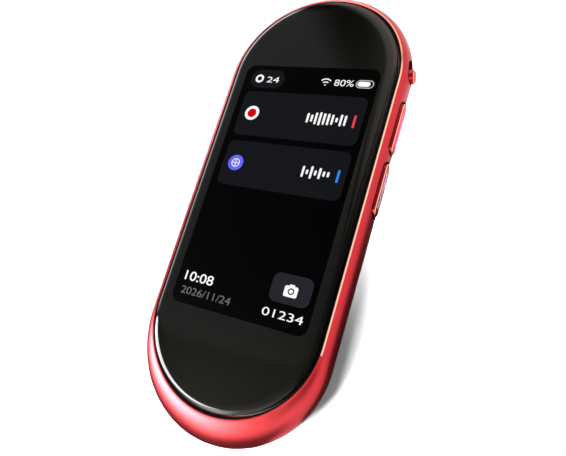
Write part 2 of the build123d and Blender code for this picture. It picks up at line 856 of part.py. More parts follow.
def talk_button(plane):
    radius = key_hole_radius - key_gap
    length = key_hole_length - 2 * key_gap
    face = widest_radius + key_proud
    outer = key_shoulder_x - key_stop_gap
    inner = outer - key_flange_thickness
    cap = pill(plane, radius, length, inner, face)
    cap = fillet(cap.faces().sort_by(Axis.X)[-1].edges(), key_edge_round)
    cap += pill(plane, radius + key_flange_step, length + 2 * key_flange_step, inner, outer)
    cap -= inlay_groove(plane, face - key_inlay_sunk - key_inlay_depth, face + tool_run)
    tip = side_flex_x + flex_thickness + dome_height + key_travel + key_nub_gap
    half = key_nub_width / 2
    return cap + side_block(plane, (-half, half), (-half, half), (tip, outer))


def key_inlay(plane):
    top = widest_radius + key_proud - key_inlay_sunk
    return inlay_groove(plane, top - key_inlay_depth, top)


def key_dome_switches():
    half = dome_width / 2
    foot = side_flex_x + flex_thickness
    up = side_part_height / 2 - flex_thickness
    domes = []
    for plane in key_planes.values():
        base = side_block(plane, (-half, half), (-up, up), (foot, foot + dome_height / 2))
        domes.append(base + pill(plane, dome_radius, 0, foot, foot + dome_height))
    return Compound(domes)


def side_key_flex():
    low, high = key_height - side_part_height / 2, ledge_height - side_part_gap
    tail_start = upper_key_y + side_tail_place
    wall = block((side_flex_x, side_flex_x + flex_thickness),
                 (lower_key_y - side_flex_reach, tail_start + side_tail_width), (low, high))
    tail = block((board_key_side - side_tail_overlap, side_flex_x + flex_thickness),
                 (tail_start, tail_start + side_tail_width),
                 (main_board_top, main_board_top + flex_thickness))
    return wall + tail


def side_key_bracket():
    run = (lower_key_y - side_bracket_reach, upper_key_y + side_bracket_reach)
    low = key_height - side_part_height / 2
    plate = block((side_flex_x - side_bracket_thickness, side_flex_x), run, (low, ledge_height))
    foot = block((side_flex_x - side_bracket_foot, side_flex_x), run,
                 (ledge_height - side_bracket_thickness, ledge_height))
    return plate + foot


# ---- slide switch ----

def power_switch_knob():
    track = widest_radius - switch_slot_depth + liner_thickness + knob_seat_gap
    face = widest_radius + knob_proud
    knob = pill(switch_plane, knob_radius, 0, track, face, knob_rest)
    knob = fillet(knob.faces().sort_by(Axis(origin=(0, 0, 0), direction=switch_plane.z_dir))[-1].edges(),
                  knob_edge_round)
    groove_floor = switch_body_face() - switch_groove_depth + stem_gap
    half = stem_width / 2
    up = stem_height / 2
    return knob + side_block(switch_plane, (knob_rest - half, knob_rest + half), (-up, up),
                             (groove_floor, track + knob_proud))


def power_switch_liner():
    track = widest_radius - switch_slot_depth
    plate = pill(switch_plane, switch_slot_radius - liner_gap, switch_slot_length - 2 * liner_gap, track,
                 track + liner_thickness)
    run = stem_width + knob_travel + 2 * stem_gap
    middle = knob_rest + knob_travel / 2
    up = stem_height / 2 + stem_gap
    return plate - side_block(switch_plane, (middle - run / 2, middle + run / 2), (-up, up),
                              (track - tool_run, track + tool_run))


def switch_body_face():
    # its two outer corners stand just clear of the pocket's round wall
    return sqrt((pocket_radius - switch_body_gap) ** 2 - (switch_body_length / 2) ** 2)


def power_switch_body():
    outer = switch_body_face()
    half = switch_body_length / 2
    low = -side_part_height / 2
    high = ledge_height - key_height
    body = side_block(switch_plane, (-half, half), (low, high), (outer - switch_body_depth, outer))
    run = stem_width + knob_travel + 2 * stem_gap
    middle = knob_rest + knob_travel / 2
    up = stem_height / 2 + stem_gap
    return body - side_block(switch_plane, (middle - run / 2, middle + run / 2), (-up, up),
                             (outer - switch_groove_depth, outer + tool_run))


# ---- SIM tray ----

def sim_tray():
    head = pill(tray_plane, tray_head_height / 2, tray_head_length, tray_head_inner,
                widest_radius + tool_run)
    head &= form
    half = tray_plate_width / 2
    thick = tray_plate_thickness / 2
    plate = side_block(tray_plane, (-half, half), (-thick, thick), (tray_end, tray_head_inner))
    card_end = tray_end + card_border
    card = side_block(tray_plane, (-card_width / 2, card_width / 2), (-tool_run, tool_run),
                      (card_end, card_end + card_length))
    hole = tray_plane.offset(widest_radius - eject_hole_depth)
    hole *= Pos(tray_head_length / 2 - eject_hole_inset, 0)
    return head + (plate - card) - extrude(hole * Circle(eject_hole_radius), 2 * eject_hole_depth)


def sim_reader():
    half = tray_plate_width / 2 + tray_gap
    thick = tray_plate_thickness / 2 + tray_gap
    deep = tray_end - tray_gap
    mouth = pocket_radius - reader_wall_gap
    sleeve = side_block(tray_plane, (-half - reader_wall, half + reader_wall),
                        (-thick - reader_wall, main_board_bottom - tray_height),
                        (deep - reader_wall, mouth))
    return sleeve - side_block(tray_plane, (-half, half), (-thick, thick), (deep, mouth + tool_run))


def antenna(angles, centre_y):
    outer = pocket_radius - antenna_gap
    return ring_sector(outer - antenna_thickness, outer, antenna_bottom, antenna_bottom + antenna_height,
                       *angles, centre_y)


red = (0.72, 0.09, 0.12)
black = (0.03, 0.03, 0.035)
steel = (0.62, 0.63, 0.65)
green = (0.05, 0.28, 0.16)
copper = (0.72, 0.42, 0.16)
grey = (0.35, 0.36, 0.38)
clear = (0.85, 0.9, 0.92)
pink = (0.8, 0.05, 0.1)
slate = (0.25, 0.18, 0.24)

keep("outer_shell", outer_shell(), red)
keep("rear_cover", rear_cover(), red)
keep("rear_cover_adhesive", rear_cover_adhesive(), black)
keep("mid_frame", mid_frame(), grey)
keep("frame_screws", frame_screws(), steel)
keep("bezel_frame", bezel_frame(), black)
keep("front_glass", front_glass(), black)
keep("glass_adhesive", glass_adhesive(), grey)
keep("optical_adhesive", display_box(display_adhesive_inset, display_top, glass_bottom), clear)
keep("display_panel", display_box(0, display_bottom, display_top), black)
keep("display_foam", display_foam(), grey)
keep("display_flex", display_flex(), copper)
keep("main_board", main_board(), green)
keep("main_board_screws", board_screws(main_board_top), steel)
keep("processor_shield", processor_shield(), steel)
keep("modem_shield", modem_shield(), steel)
keep("board_connectors", board_connectors(), black)
keep("camera_module", camera_module(), grey)
keep("camera_bezel", camera_bezel(), steel)
keep("camera_window", camera_window(), clear)
keep("flash_light_pipe", flash_light_pipe(), clear)
keep("flash_led", flash_led(), grey)
keep("battery", battery(), grey)
keep("battery_adhesive", battery_adhesive(), clear)
keep("battery_protection_board", battery_protection_board(), green)
keep("battery_lead", battery_lead(), copper)
keep("sub_board", sub_board(), green)
keep("sub_board_screws", board_screws(sub_board_top), steel)
keep("usb_receptacle", usb_receptacle(), steel)
keep("usb_contact_tongue", usb_contact_tongue(), black)
keep("interboard_flex", interboard_flex(), copper)
keep("speaker_module", speaker_module(), black)
keep("speaker_gasket", speaker_gasket(), black)
keep("speaker_mesh", speaker_mesh(), steel)
keep("main_microphone", microphone(main_microphone_x, -sub_board_start, sub_board_bottom), steel)
keep("noise_microphone", microphone(noise_microphone_x,
                                    arc_centre_y + pocket_radius - noise_microphone_inset,
                                    main_board_bottom), steel)
keep("upper_talk_button", talk_button(key_planes["upper"]), red)
keep("lower_talk_button", talk_button(key_planes["lower"]), red)
keep("upper_key_inlay", key_inlay(key_planes["upper"]), pink)
keep("lower_key_inlay", key_inlay(key_planes["lower"]), slate)
keep("key_dome_switches", key_dome_switches(), steel)
keep("side_key_flex", side_key_flex(), copper)
keep("side_key_bracket", side_key_bracket(), steel)
keep("power_switch_knob", power_switch_knob(), red)
keep("power_switch_liner", power_switch_liner(), black)
keep("power_switch_body", power_switch_body(), black)
keep("sim_tray", sim_tray(), red)
keep("sim_reader", sim_reader(), steel)
keep("upper_antenna", antenna(upper_antenna_angles, arc_centre_y), copper)
keep("lower_antenna", antenna(lower_antenna_angles, -arc_centre_y), copper)

os.makedirs("parts", exist_ok=True)
for name, shape in written.items():
    export_step(shape, f"parts/{name}.step")
    print(name, len(shape.solids()), round(shape.volume, 2))
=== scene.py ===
from math import asin, atan, cos, pi, radians, sin, sqrt, tan

import bmesh
import bpy
from mathutils import Matrix, Quaternion, Vector


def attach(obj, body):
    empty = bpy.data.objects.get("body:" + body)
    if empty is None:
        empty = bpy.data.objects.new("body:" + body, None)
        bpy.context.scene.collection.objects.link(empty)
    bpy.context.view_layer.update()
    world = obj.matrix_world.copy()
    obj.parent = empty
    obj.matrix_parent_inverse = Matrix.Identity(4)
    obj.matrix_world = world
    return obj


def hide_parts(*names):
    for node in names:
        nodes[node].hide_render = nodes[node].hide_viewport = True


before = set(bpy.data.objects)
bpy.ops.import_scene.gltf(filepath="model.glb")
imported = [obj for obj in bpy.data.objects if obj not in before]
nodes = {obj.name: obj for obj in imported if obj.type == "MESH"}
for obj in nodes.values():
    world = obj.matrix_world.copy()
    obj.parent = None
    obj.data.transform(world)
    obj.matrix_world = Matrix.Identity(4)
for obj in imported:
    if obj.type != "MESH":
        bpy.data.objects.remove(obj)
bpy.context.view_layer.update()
mm = 0.001
print("frame loaded:", len(nodes), "nodes")


# small helpers for node trees

sums = {"+": "ADD", "-": "SUBTRACT", "*": "MULTIPLY", "/": "DIVIDE"}


def nodeMaker(tree):
    # add makes a node and wires its inputs to values, sockets or other nodes; calc works out one sum
    def add(kind, wires=None, **settings):
        node = tree.nodes.new(kind)
        for key, value in settings.items():
            setattr(node, key, value)
        for key, value in (wires or {}).items():
            if isinstance(value, bpy.types.Node):
                value = value.outputs[0]
            if isinstance(value, bpy.types.NodeSocket):
                tree.links.new(value, node.inputs[key])
            else:
                node.inputs[key].default_value = value
        return node

    def calc(work, *values):
        return add("ShaderNodeMath", dict(enumerate(values)), operation=sums.get(work, work)).outputs[0]

    return add, calc


def newTree(name, kind, ins, outs):
    tree = bpy.data.node_groups.new(name, kind)
    for label, socket, value in ins:
        item = tree.interface.new_socket(label, in_out="INPUT", socket_type="NodeSocket" + socket)
        if value is not None:
            item.default_value = value
    for label, socket in outs:
        tree.interface.new_socket(label, in_out="OUTPUT", socket_type="NodeSocket" + socket)
    given, out = tree.nodes.new("NodeGroupInput").outputs, tree.nodes.new("NodeGroupOutput").inputs
    return tree, given, out, *nodeMaker(tree)


def grade(add, value, start, end, low, high, kind="LINEAR"):
    # goes from low to high while the value goes from start to end
    return add("ShaderNodeMapRange", {"Value": value, "From Min": start, "From Max": end,
                                      "To Min": low, "To Max": high}, interpolation_type=kind).outputs[0]


def alongBody(add):
    place = add("ShaderNodeTexCoord").outputs["Object"]
    return add("ShaderNodeSeparateXYZ", {"Vector": place}).outputs["Y"]


def fromScreen(r, g, b):
    # a screen colour of 0 to 255 as the linear colour that shows it
    return tuple((c / 255 / 12.92 if c < 10.3 else ((c / 255 + 0.055) / 1.055) ** 2.4)
                 for c in (r, g, b)) + (1.0,)


# finishes: shader groups first, then one material for each real surface

def makeEffect(name, inputs, vary):
    # vary gives how much lighter, how much rougher and how high each spot is
    tree, given, out, add, calc = newTree(name, "ShaderNodeTree", [
        ("Colour", "Color", (0.5, 0.5, 0.5, 1)), ("Roughness", "Float", 0.4), *inputs],
        [("Colour", "Color"), ("Roughness", "Float"), ("Height", "Float")])
    lighter, rougher, height = vary(given, add, calc, add("ShaderNodeTexCoord").outputs["Object"])
    tone = add("ShaderNodeHueSaturation", {"Color": given["Colour"], "Value": calc("+", 1.0, lighter)})
    tree.links.new(tone.outputs[0], out["Colour"])
    tree.links.new(calc("+", given["Roughness"], rougher), out["Roughness"])
    tree.links.new(height, out["Height"])
    return tree


def satin(given, add, calc, place):
    # blasted and dyed metal: fine grain, faint cloudiness in colour and gloss
    grain, cloud = (add("ShaderNodeTexNoise", {
        "Vector": place, "Scale": given[label], "Detail": detail}).outputs[0]
        for label, detail in (("Grain Scale", 1.0), ("Cloud Scale", 3.0)))
    shift = calc("*", calc("-", cloud, 0.5), given["Cloud Amount"])
    speck = calc("*", calc("-", grain, 0.5), given["Grain Amount"])
    return calc("+", shift, speck), calc("*", shift, 0.6), grain


def moulded(given, add, calc, place):
    # moulded plastic and rubber: a fine leathery skin and patches of wear
    skin = add("ShaderNodeTexVoronoi", {"Vector": place, "Scale": given["Skin Scale"]}).outputs["Distance"]
    patch = add("ShaderNodeTexNoise", {"Vector": place, "Scale": given["Patch Scale"], "Detail": 4.0})
    centred = calc("-", patch, 0.5)
    return calc("*", centred, 0.3), calc("*", centred, 0.2), skin


satinGrain = makeEffect("satinGrain", [
    ("Grain Scale", "Float", 9000.0), ("Grain Amount", "Float", 0.1), ("Cloud Scale", "Float", 60.0),
    ("Cloud Amount", "Float", 0.05)], satin)
mouldedSkin = makeEffect("mouldedSkin", [
    ("Skin Scale", "Float", 3500.0), ("Patch Scale", "Float", 150.0)], moulded)
finishes = {}   # each finish by the slot it fills, such as red_shell for redShell


def newFinish(name, colour, roughness, effect=None, metallic=0.0, coat=(0.0, 0.03), specular=0.5,
              transmission=0.0, shine=((1, 1, 1, 1), 0.0), values=None, relief=(0.1, 0.00001)):
    # plain values go on the shader itself; the effect varies colour, gloss and relief over the surface
    material = bpy.data.materials.new(name)
    material.use_nodes = True
    tree = material.node_tree
    add = nodeMaker(tree)[0]
    shader = tree.nodes["Principled BSDF"]
    sockets = {"Base Color": (*colour, 1), "Roughness": roughness, "Metallic": metallic,
               "Coat Weight": coat[0], "Coat Roughness": coat[1], "Specular IOR Level": specular,
               "Transmission Weight": transmission, "Emission Color": shine[0], "Emission Strength": shine[1]}
    for key, value in sockets.items():
        shader.inputs[key].default_value = value
    if effect:
        varied = add("ShaderNodeGroup", {"Colour": (*colour, 1), "Roughness": roughness, **(values or {})},
                     node_tree=effect).outputs
        tree.links.new(varied["Colour"], shader.inputs["Base Color"])
        tree.links.new(varied["Roughness"], shader.inputs["Roughness"])
        if relief[0]:
            bump = add("ShaderNodeBump", {"Strength": relief[0], "Distance": relief[1],
                                          "Height": varied["Height"]})
            tree.links.new(bump.outputs[0], shader.inputs["Normal"])
    finishes["".join("_" + c.lower() if c.isupper() else c for c in name)] = material
    return material


redShell = newFinish("redShell", (0.67, 0.006, 0.018), 0.34, satinGrain, 1.0, (0.85, 0.33))
# a lighter cream copy of the red metal for polished edges: a real polished edge, and its cream colour is a
# painted highlight
redPolished = newFinish("redPolished", (0.93, 0.56, 0.39), 0.16, satinGrain, 1.0, (0.5, 0.08),
                        values={"Cloud Scale": 200.0, "Grain Scale": 4000.0}, relief=(0.0, 0.0))
redKey = newFinish("redKey", (0.66, 0.009, 0.014), 0.3, satinGrain, 1.0, (0.8, 0.24))
pinkInlay = newFinish("pinkInlay", (0.62, 0.03, 0.08), 0.5, satinGrain, specular=0.15)
slateInlay = newFinish("slateInlay", (0.19, 0.125, 0.17), 0.5, satinGrain, specular=0.15)
glassBorder = newFinish("glassBorder", (0.0025, 0.0025, 0.002), 0.035)
blackPlastic = newFinish("blackPlastic", (0.012, 0.012, 0.013), 0.42, mouldedSkin)
# near-black for the bezel and the switch liner, and painted shade on the red shell's walls in its gaps
gapBlack = newFinish("gapBlack", (0.003, 0.003, 0.003), 0.55, mouldedSkin, specular=0.12)
bezelMetal = newFinish("bezelMetal", (0.16, 0.16, 0.17), 0.2, satinGrain, 1.0)
steel = newFinish("steel", (0.6, 0.6, 0.61), 0.28, satinGrain, 1.0)
lensGlass = newFinish("lensGlass", (0.9, 0.92, 0.95), 0.02, transmission=1.0)
frameAlloy = newFinish("frameAlloy", (0.42, 0.43, 0.45), 0.38, satinGrain, 1.0)
newFinish("ledPackage", (0.82, 0.72, 0.28), 0.5, mouldedSkin)
newFinish("circuitBoard", (0.01, 0.09, 0.035), 0.4, mouldedSkin)
newFinish("flexCable", (0.28, 0.12, 0.02), 0.35, mouldedSkin)
newFinish("batteryPouch", (0.45, 0.46, 0.48), 0.35, mouldedSkin, 0.6)
newFinish("foam", (0.03, 0.03, 0.03), 0.9, mouldedSkin)
newFinish("adhesive", (0.02, 0.02, 0.02), 0.6, mouldedSkin)
newFinish("clearAdhesive", (0.9, 0.9, 0.9), 0.1, transmission=0.9)

chinPaintedHighlight = {"start": -0.040, "end": -0.052, "coatIor": (1.5, 1.7)}   # painted highlight: the coat reflects more on the chin, so its highlights look whiter
tree = redShell.node_tree
add = nodeMaker(tree)[0]
tree.links.new(grade(add, alongBody(add), chinPaintedHighlight["start"], chinPaintedHighlight["end"], *chinPaintedHighlight["coatIor"]),
               tree.nodes["Principled BSDF"].inputs["Coat IOR"])
print("finishes made")


# the object's form, in mm, shared by the pieces that follow it

form = {"arcCentre": 34.26, "widest": 25.5, "widestHeight": 6.36, "rim": 23.5, "rimHeight": 10.7,
        "rimStart": 25.0, "back": 18.8, "chin": 4.6, "chinBack": 1.4}
startAngle = radians(form["rimStart"])
upperOut = (form["widest"] - form["rim"]) / (1 - sin(startAngle))
upperUp = (form["rimHeight"] - form["widestHeight"]) / cos(startAngle)
lowerOut = form["widest"] - form["back"]


def upperWall(angle):
    return form["widest"] - upperOut * (1 - sin(angle)), form["widestHeight"] + upperUp * cos(angle)


def lowerWall(angle):
    return form["back"] + lowerOut * cos(angle), form["widestHeight"] * (1 - sin(angle))


def reachAt(radius, height):
    # how much further the chin reaches than a plain arc of that radius
    if height >= form["widestHeight"]:
        return form["chin"] * max(radius - form["rim"], 0) / (form["widest"] - form["rim"])
    return form["chinBack"] + (form["chin"] - form["chinBack"]) * (radius - form["back"]) / lowerOut


def wallAt(height):
    # radius of the side wall at a height, and how fast it grows with height
    if height >= form["widestHeight"]:
        share = min((height - form["widestHeight"]) / upperUp, cos(startAngle))
        angle = max(pi / 2 - atan(share / sqrt(max(1 - share * share, 1e-9))), startAngle)
        return form["widest"] - upperOut * (1 - sin(angle)), -upperOut * cos(angle) / (upperUp * sin(angle))
    share = min(1 - max(height, 0) / form["widestHeight"], 0.9995)
    rise = sqrt(1 - share * share)
    return form["back"] + lowerOut * rise, lowerOut / form["widestHeight"] * share / rise


def wallNormal(point):
    # outward normal of the shell's side at a point of it, in metres
    x, y, z = (v / mm for v in point)
    radius, grows = wallAt(z)
    reach = reachAt(radius, z)
    slope = (form["chin"] / (form["widest"] - form["rim"]) if z >= form["widestHeight"]
             else (form["chin"] - form["chinBack"]) / lowerOut) * grows
    if y > form["arcCentre"]:
        out = Vector((x, y - form["arcCentre"], 0)).normalized()
        out.z = -grows
    elif y < -form["arcCentre"] - reach:
        out = Vector((x, y + form["arcCentre"] + reach, 0)).normalized()
        out.z = out.y * slope - grows
    else:
        out = Vector((1 if x > 0 else -1, 0, -grows))
    return out.normalized()


# small helpers for meshes

meshGaps = {"weld": 2e-7, "sliver": 1e-7}


def tidyMesh(mesh, angle=30.0):
    work = bmesh.new()
    work.from_mesh(mesh)
    bmesh.ops.remove_doubles(work, verts=work.verts, dist=meshGaps["weld"])
    bmesh.ops.dissolve_degenerate(work, edges=work.edges, dist=meshGaps["sliver"])
    if work.calc_volume(signed=True) < 0:
        bmesh.ops.reverse_faces(work, faces=work.faces)
    work.to_mesh(mesh)
    work.free()
    mesh.shade_smooth()
    mesh.set_sharp_from_angle(angle=radians(angle))
    return mesh


def newPiece(name, data, materials=()):
    piece = bpy.data.objects.new(name, data)
    bpy.context.scene.collection.objects.link(piece)
    for material in materials:
        data.materials.append(material)
    return piece


def declare(piece, body, node=None):
    # the body it moves with, and the plain solid that it stands in for, which is hidden
    if node:
        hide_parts(node)
    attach(piece, body)


def settle(piece):
    # what the piece's modifiers make of it, as a plain mesh
    depsgraph = bpy.context.evaluated_depsgraph_get()
    mesh = bpy.data.meshes.new_from_object(piece.evaluated_get(depsgraph),
                                           preserve_all_data_layers=True, depsgraph=depsgraph)
    piece.modifiers.clear()
    return mesh


def growMesh(name, tree, values, source=None):
    # runs a geometry node tree and drops the attributes that only the tree needs
    seed = newPiece(name + "Seed", source or bpy.data.meshes.new(name))
    modifier = seed.modifiers.new("grow", "NODES")
    modifier.node_group = tree
    for item in tree.interface.items_tree:
        if item.in_out == "INPUT" and item.name in values:
            modifier[item.identifier] = values[item.name]
    mesh = settle(seed)
    bpy.data.objects.remove(seed)
    mesh.name = name
    for label in ("section", "angle", "side", "polish", "tall"):
        if label in mesh.attributes:
            mesh.attributes.remove(mesh.attributes[label])
    return mesh


def carve(piece, cutters, angle):
    # exact cuts, one after another; the cutters' finishes go onto the walls that they cut
    for cutter in cutters:
        modifier = piece.modifiers.new("carve", "BOOLEAN")
        modifier.operation, modifier.object, modifier.solver = "DIFFERENCE", cutter, "EXACT"
        modifier.material_mode = "TRANSFER"
    piece.data = settle(piece)
    for cutter in cutters:
        bpy.data.objects.remove(cutter)
    tidyMesh(piece.data, angle)


def store(add, shape, label, value, kind="FLOAT"):
    return add("GeometryNodeStoreNamedAttribute", {"Geometry": shape, "Name": label, "Value": value},
               data_type=kind, domain="POINT")


def stored(add, label, kind="FLOAT"):
    return add("GeometryNodeInputNamedAttribute", {"Name": label}, data_type=kind).outputs[0]


def dress(add, shape, finish):
    # the last two steps of a geometry node tree
    shape = add("GeometryNodeRealizeInstances", {"Geometry": shape})
    return add("GeometryNodeSetMaterial", {"Geometry": shape, "Material": finish})


def makeStadiumSweep():
    # a section of radius, reach and height runs round two arc ends and two straight sides
    tree, given, out, add, calc = newTree("stadiumSweep", "GeometryNodeTree", [
        ("Section", "Geometry", None), ("Arc Centre", "Float", 0.03), ("Arc Points", "Int", 48),
        ("Skin", "Material", None), ("Edge", "Material", None), ("Inner", "Material", None)],
        [("Mesh", "Geometry")])

    line = add("GeometryNodeMeshToCurve", {"Mesh": given["Section"]})
    line = store(add, line, "section", add("GeometryNodeInputPosition"), "FLOAT_VECTOR")
    count = given["Arc Points"]
    ring = add("GeometryNodeCurvePrimitiveCircle", {"Resolution": calc("*", count, 2.0), "Radius": 1.0})
    index = add("GeometryNodeInputIndex")
    half = calc("FLOOR", calc("/", index, count))
    step = calc("-", index, calc("*", half, count))
    ring = store(add, ring, "angle", calc("*", pi, calc("+", half, calc("/", step, calc("-", count, 1.0)))))
    ring = store(add, ring, "side", calc("-", 1.0, calc("*", half, 2.0)))
    tube = add("GeometryNodeCurveToMesh", {"Curve": ring, "Profile Curve": line})
    radius, reach, height = add("ShaderNodeSeparateXYZ", {0: stored(add, "section", "FLOAT_VECTOR")}).outputs
    turn, side = stored(add, "angle"), stored(add, "side")
    lower = calc("/", calc("-", 1.0, side), 2.0)
    y = calc("+", calc("*", side, given["Arc Centre"]), calc("*", radius, calc("SINE", turn)))
    place = add("ShaderNodeCombineXYZ", {0: calc("*", radius, calc("COSINE", turn)),
                                         1: calc("-", y, calc("*", reach, lower)), 2: height})
    tube = add("GeometryNodeSetPosition", {"Geometry": tube, "Position": place})
    tube = add("GeometryNodeMergeByDistance", {"Geometry": tube, "Distance": 1e-6})
    tube = dress(add, tube, given["Skin"])
    for label, test, limit in (("Edge", "GREATER_THAN", 0.9), ("Inner", "LESS_THAN", -0.9)):
        tube = add("GeometryNodeSetMaterial", {"Geometry": tube, "Material": given[label],
                                               "Selection": calc(test, stored(add, "polish"), limit)})
    tree.links.new(tube.outputs[0], out[0])
    return tree


stadiumSweep = makeStadiumSweep()


def sweepPiece(name, section, centre, arcPoints, skin, edge=None, inner=None, closed=False, place=None,
               angle=30.0):
    # section points are (radius, height) in mm, then polish, 1 on the bright edge, whose cream finish is
    # partly a painted highlight, and -1 where black, painted shade in a gap, and reach, how much further the
    # chin end goes out
    points = [(*point, 0, 0)[:4] for point in section]
    count = len(points)
    edges = [(i, i + 1) for i in range(count - 1)] + ([(count - 1, 0)] if closed else [])
    line = bpy.data.meshes.new(name + "Section")
    line.from_pydata([(r * mm, reach * mm, z * mm) for r, z, polish, reach in points], edges, [])
    line.attributes.new("polish", "FLOAT", "POINT").data.foreach_set("value", [point[2] for point in points])
    mesh = growMesh(name, stadiumSweep, {"Arc Centre": centre * mm, "Arc Points": arcPoints,
                                         "Skin": skin, "Edge": edge or skin, "Inner": inner or skin}, line)
    if place:
        mesh.transform(place)
    return newPiece(name, tidyMesh(mesh, angle))


def ringsPiece(name, rings, marks, materials):
    # closed body from rings of equal count, in mm; marks gives each band's place in materials
    count = len(rings[0])
    faces, faceMarks = [tuple(range(count))[::-1]], [marks[0]]
    for i in range(len(rings) - 1):
        for j in range(count):
            k = (j + 1) % count
            faces.append((i * count + j, i * count + k, (i + 1) * count + k, (i + 1) * count + j))
            faceMarks.append(marks[i])
    faces.append(tuple(range((len(rings) - 1) * count, len(rings) * count)))
    faceMarks.append(marks[-1])
    mesh = bpy.data.meshes.new(name)
    mesh.from_pydata([[v * mm for v in point] for ring in rings for point in ring], [], faces)
    piece = newPiece(name, mesh, materials)
    mesh.polygons.foreach_set("material_index", faceMarks)
    tidyMesh(mesh)
    return piece


def arc(x, y, radius, start, end, steps):
    # points of an arc, both ends included; angles in degrees
    return [(x + radius * cos(radians(start + (end - start) * i / steps)),
             y + radius * sin(radians(start + (end - start) * i / steps))) for i in range(steps + 1)]


def pillOutline(length, radius, offset=0.0):
    half, wide = length / 2 - radius, radius + offset
    return arc(half, 0, wide, -90, 90, 14) + arc(-half, 0, wide, 90, 270, 14)


def lippedCutter(name, length, radius, lip, spot, inner, surface, materials, past=2.5):
    # pill-shaped cut with a small 45 degree lip that follows the surface it opens; materials are the wall's
    # and the lip's, spot(along, across, out) is a point, surface(along, across) how far out the surface lies
    low, high = pillOutline(length, radius), pillOutline(length, radius, 2 * lip)
    rings = [[spot(a, c, inner) for a, c in low]]
    for outline, rise in ((low, -lip), (high, lip), (high, past)):
        rings.append([spot(a, c, surface(a, c) + rise) for a, c in outline])
    return ringsPiece(name, rings, [0, 1, 1], materials)


# outer shell, with its rim, key holes, switch slot, port, sound holes and tray slot

shellShape = {"upperLevels": 18, "lowerLevels": 16, "arcPoints": 73, "bandInner": 23.2, "bandRise": 0.24,
              "bandBulge": 0.53, "bandOuter": 23.54, "bandEnd": -36.0, "bandLeft": -15.0, "blackTo": 23.06,
              "innerChamfer": 0.4, "opening": 22.65, "ledge": 8.3, "pocket": 21.6, "floor": 2.0,
              "rearOpening": 17.2, "rearRecess": 18.35, "rearLedge": 1.15, "sharp": 28.0,
              "onWall": 0.985, "underRim": 0.1, "overBack": 0.01}
keyShape = {"height": 6.95, "holeRadius": 2.1, "holeLength": 14.8, "holeInner": 21.0, "places": (22.5, 6.05),
            "gap": 0.28, "endGap": 0.2, "face": 26.1, "bevel": 0.22, "crown": 0.3, "swell": 2.2,
            "inner": 22.4, "lip": 0.12, "arcPoints": 25, "sharp": 24.0, "inlayLength": 10.3,
            "inlayRise": 0.8, "inlayRadius": 0.42, "inlayProud": 0.02, "inlayDepth": 0.35,
            "inlayGap": 0.004, "inlayEdge": (0.08, 0.04), "inlayCrown": 0.01, "inlayArcPoints": 9}
switchShape = {"turn": 9.21, "radius": 2.2, "length": 6.9, "floor": 23.8, "lip": 0.12, "knobRadius": 1.9,
               "knobFace": 26.42, "knobFoot": 0.5, "knobRest": -1.1, "bevel": 0.9, "dish": 0.1,
               "dishEdge": 0.05, "arcPoints": 33, "sharp": 35.0}
portShape = {"width": 9.18, "height": 3.4, "level": 4.35, "inner": 57.0, "lip": 0.28}
soundHoles = {"radius": 0.5, "bottom": (8.6, 5.2), "top": (-6.0, 5.8), "inner": (57.0, 54.0), "lip": 0.1}
traySlot = {"length": 13.2, "radius": 1.1, "y": 28.0, "z": 5.6, "inner": 21.0, "lip": 0.08}


def shellSection():
    s = shellShape
    first = asin(1 - (form["widest"] - s["bandOuter"]) / upperOut)
    bandLow = upperWall(first)[1]
    points = [(s["bandInner"], bandLow + s["bandRise"], 1),
              ((s["bandInner"] + s["bandOuter"]) / 2, bandLow + s["bandRise"] * s["bandBulge"], 1)]
    for i in range(s["upperLevels"] + 1):
        r, z = upperWall(first + (pi / 2 - first) * i / s["upperLevels"])
        points.append((r, z, 0 if i else 1, reachAt(r, z + 1e-6)))
    for i in range(1, s["lowerLevels"] + 1):
        r, z = lowerWall(pi / 2 * i / s["lowerLevels"])
        points.append((r, z, 0, reachAt(r, z)))
    # the rim opening's inner chamfer, polish -1, is painted black as shade in the gap round the glass
    return points + [
        (s["rearRecess"], 0), (s["rearRecess"], s["rearLedge"]), (s["rearOpening"], s["rearLedge"]),
        (s["rearOpening"], s["floor"]), (s["pocket"], s["floor"]), (s["pocket"], s["ledge"]),
        (s["opening"], s["ledge"]), (s["opening"], form["rimHeight"] - s["innerChamfer"], -1),
        (s["blackTo"], bandLow + s["bandRise"] - (s["bandInner"] - s["blackTo"]), -1)]


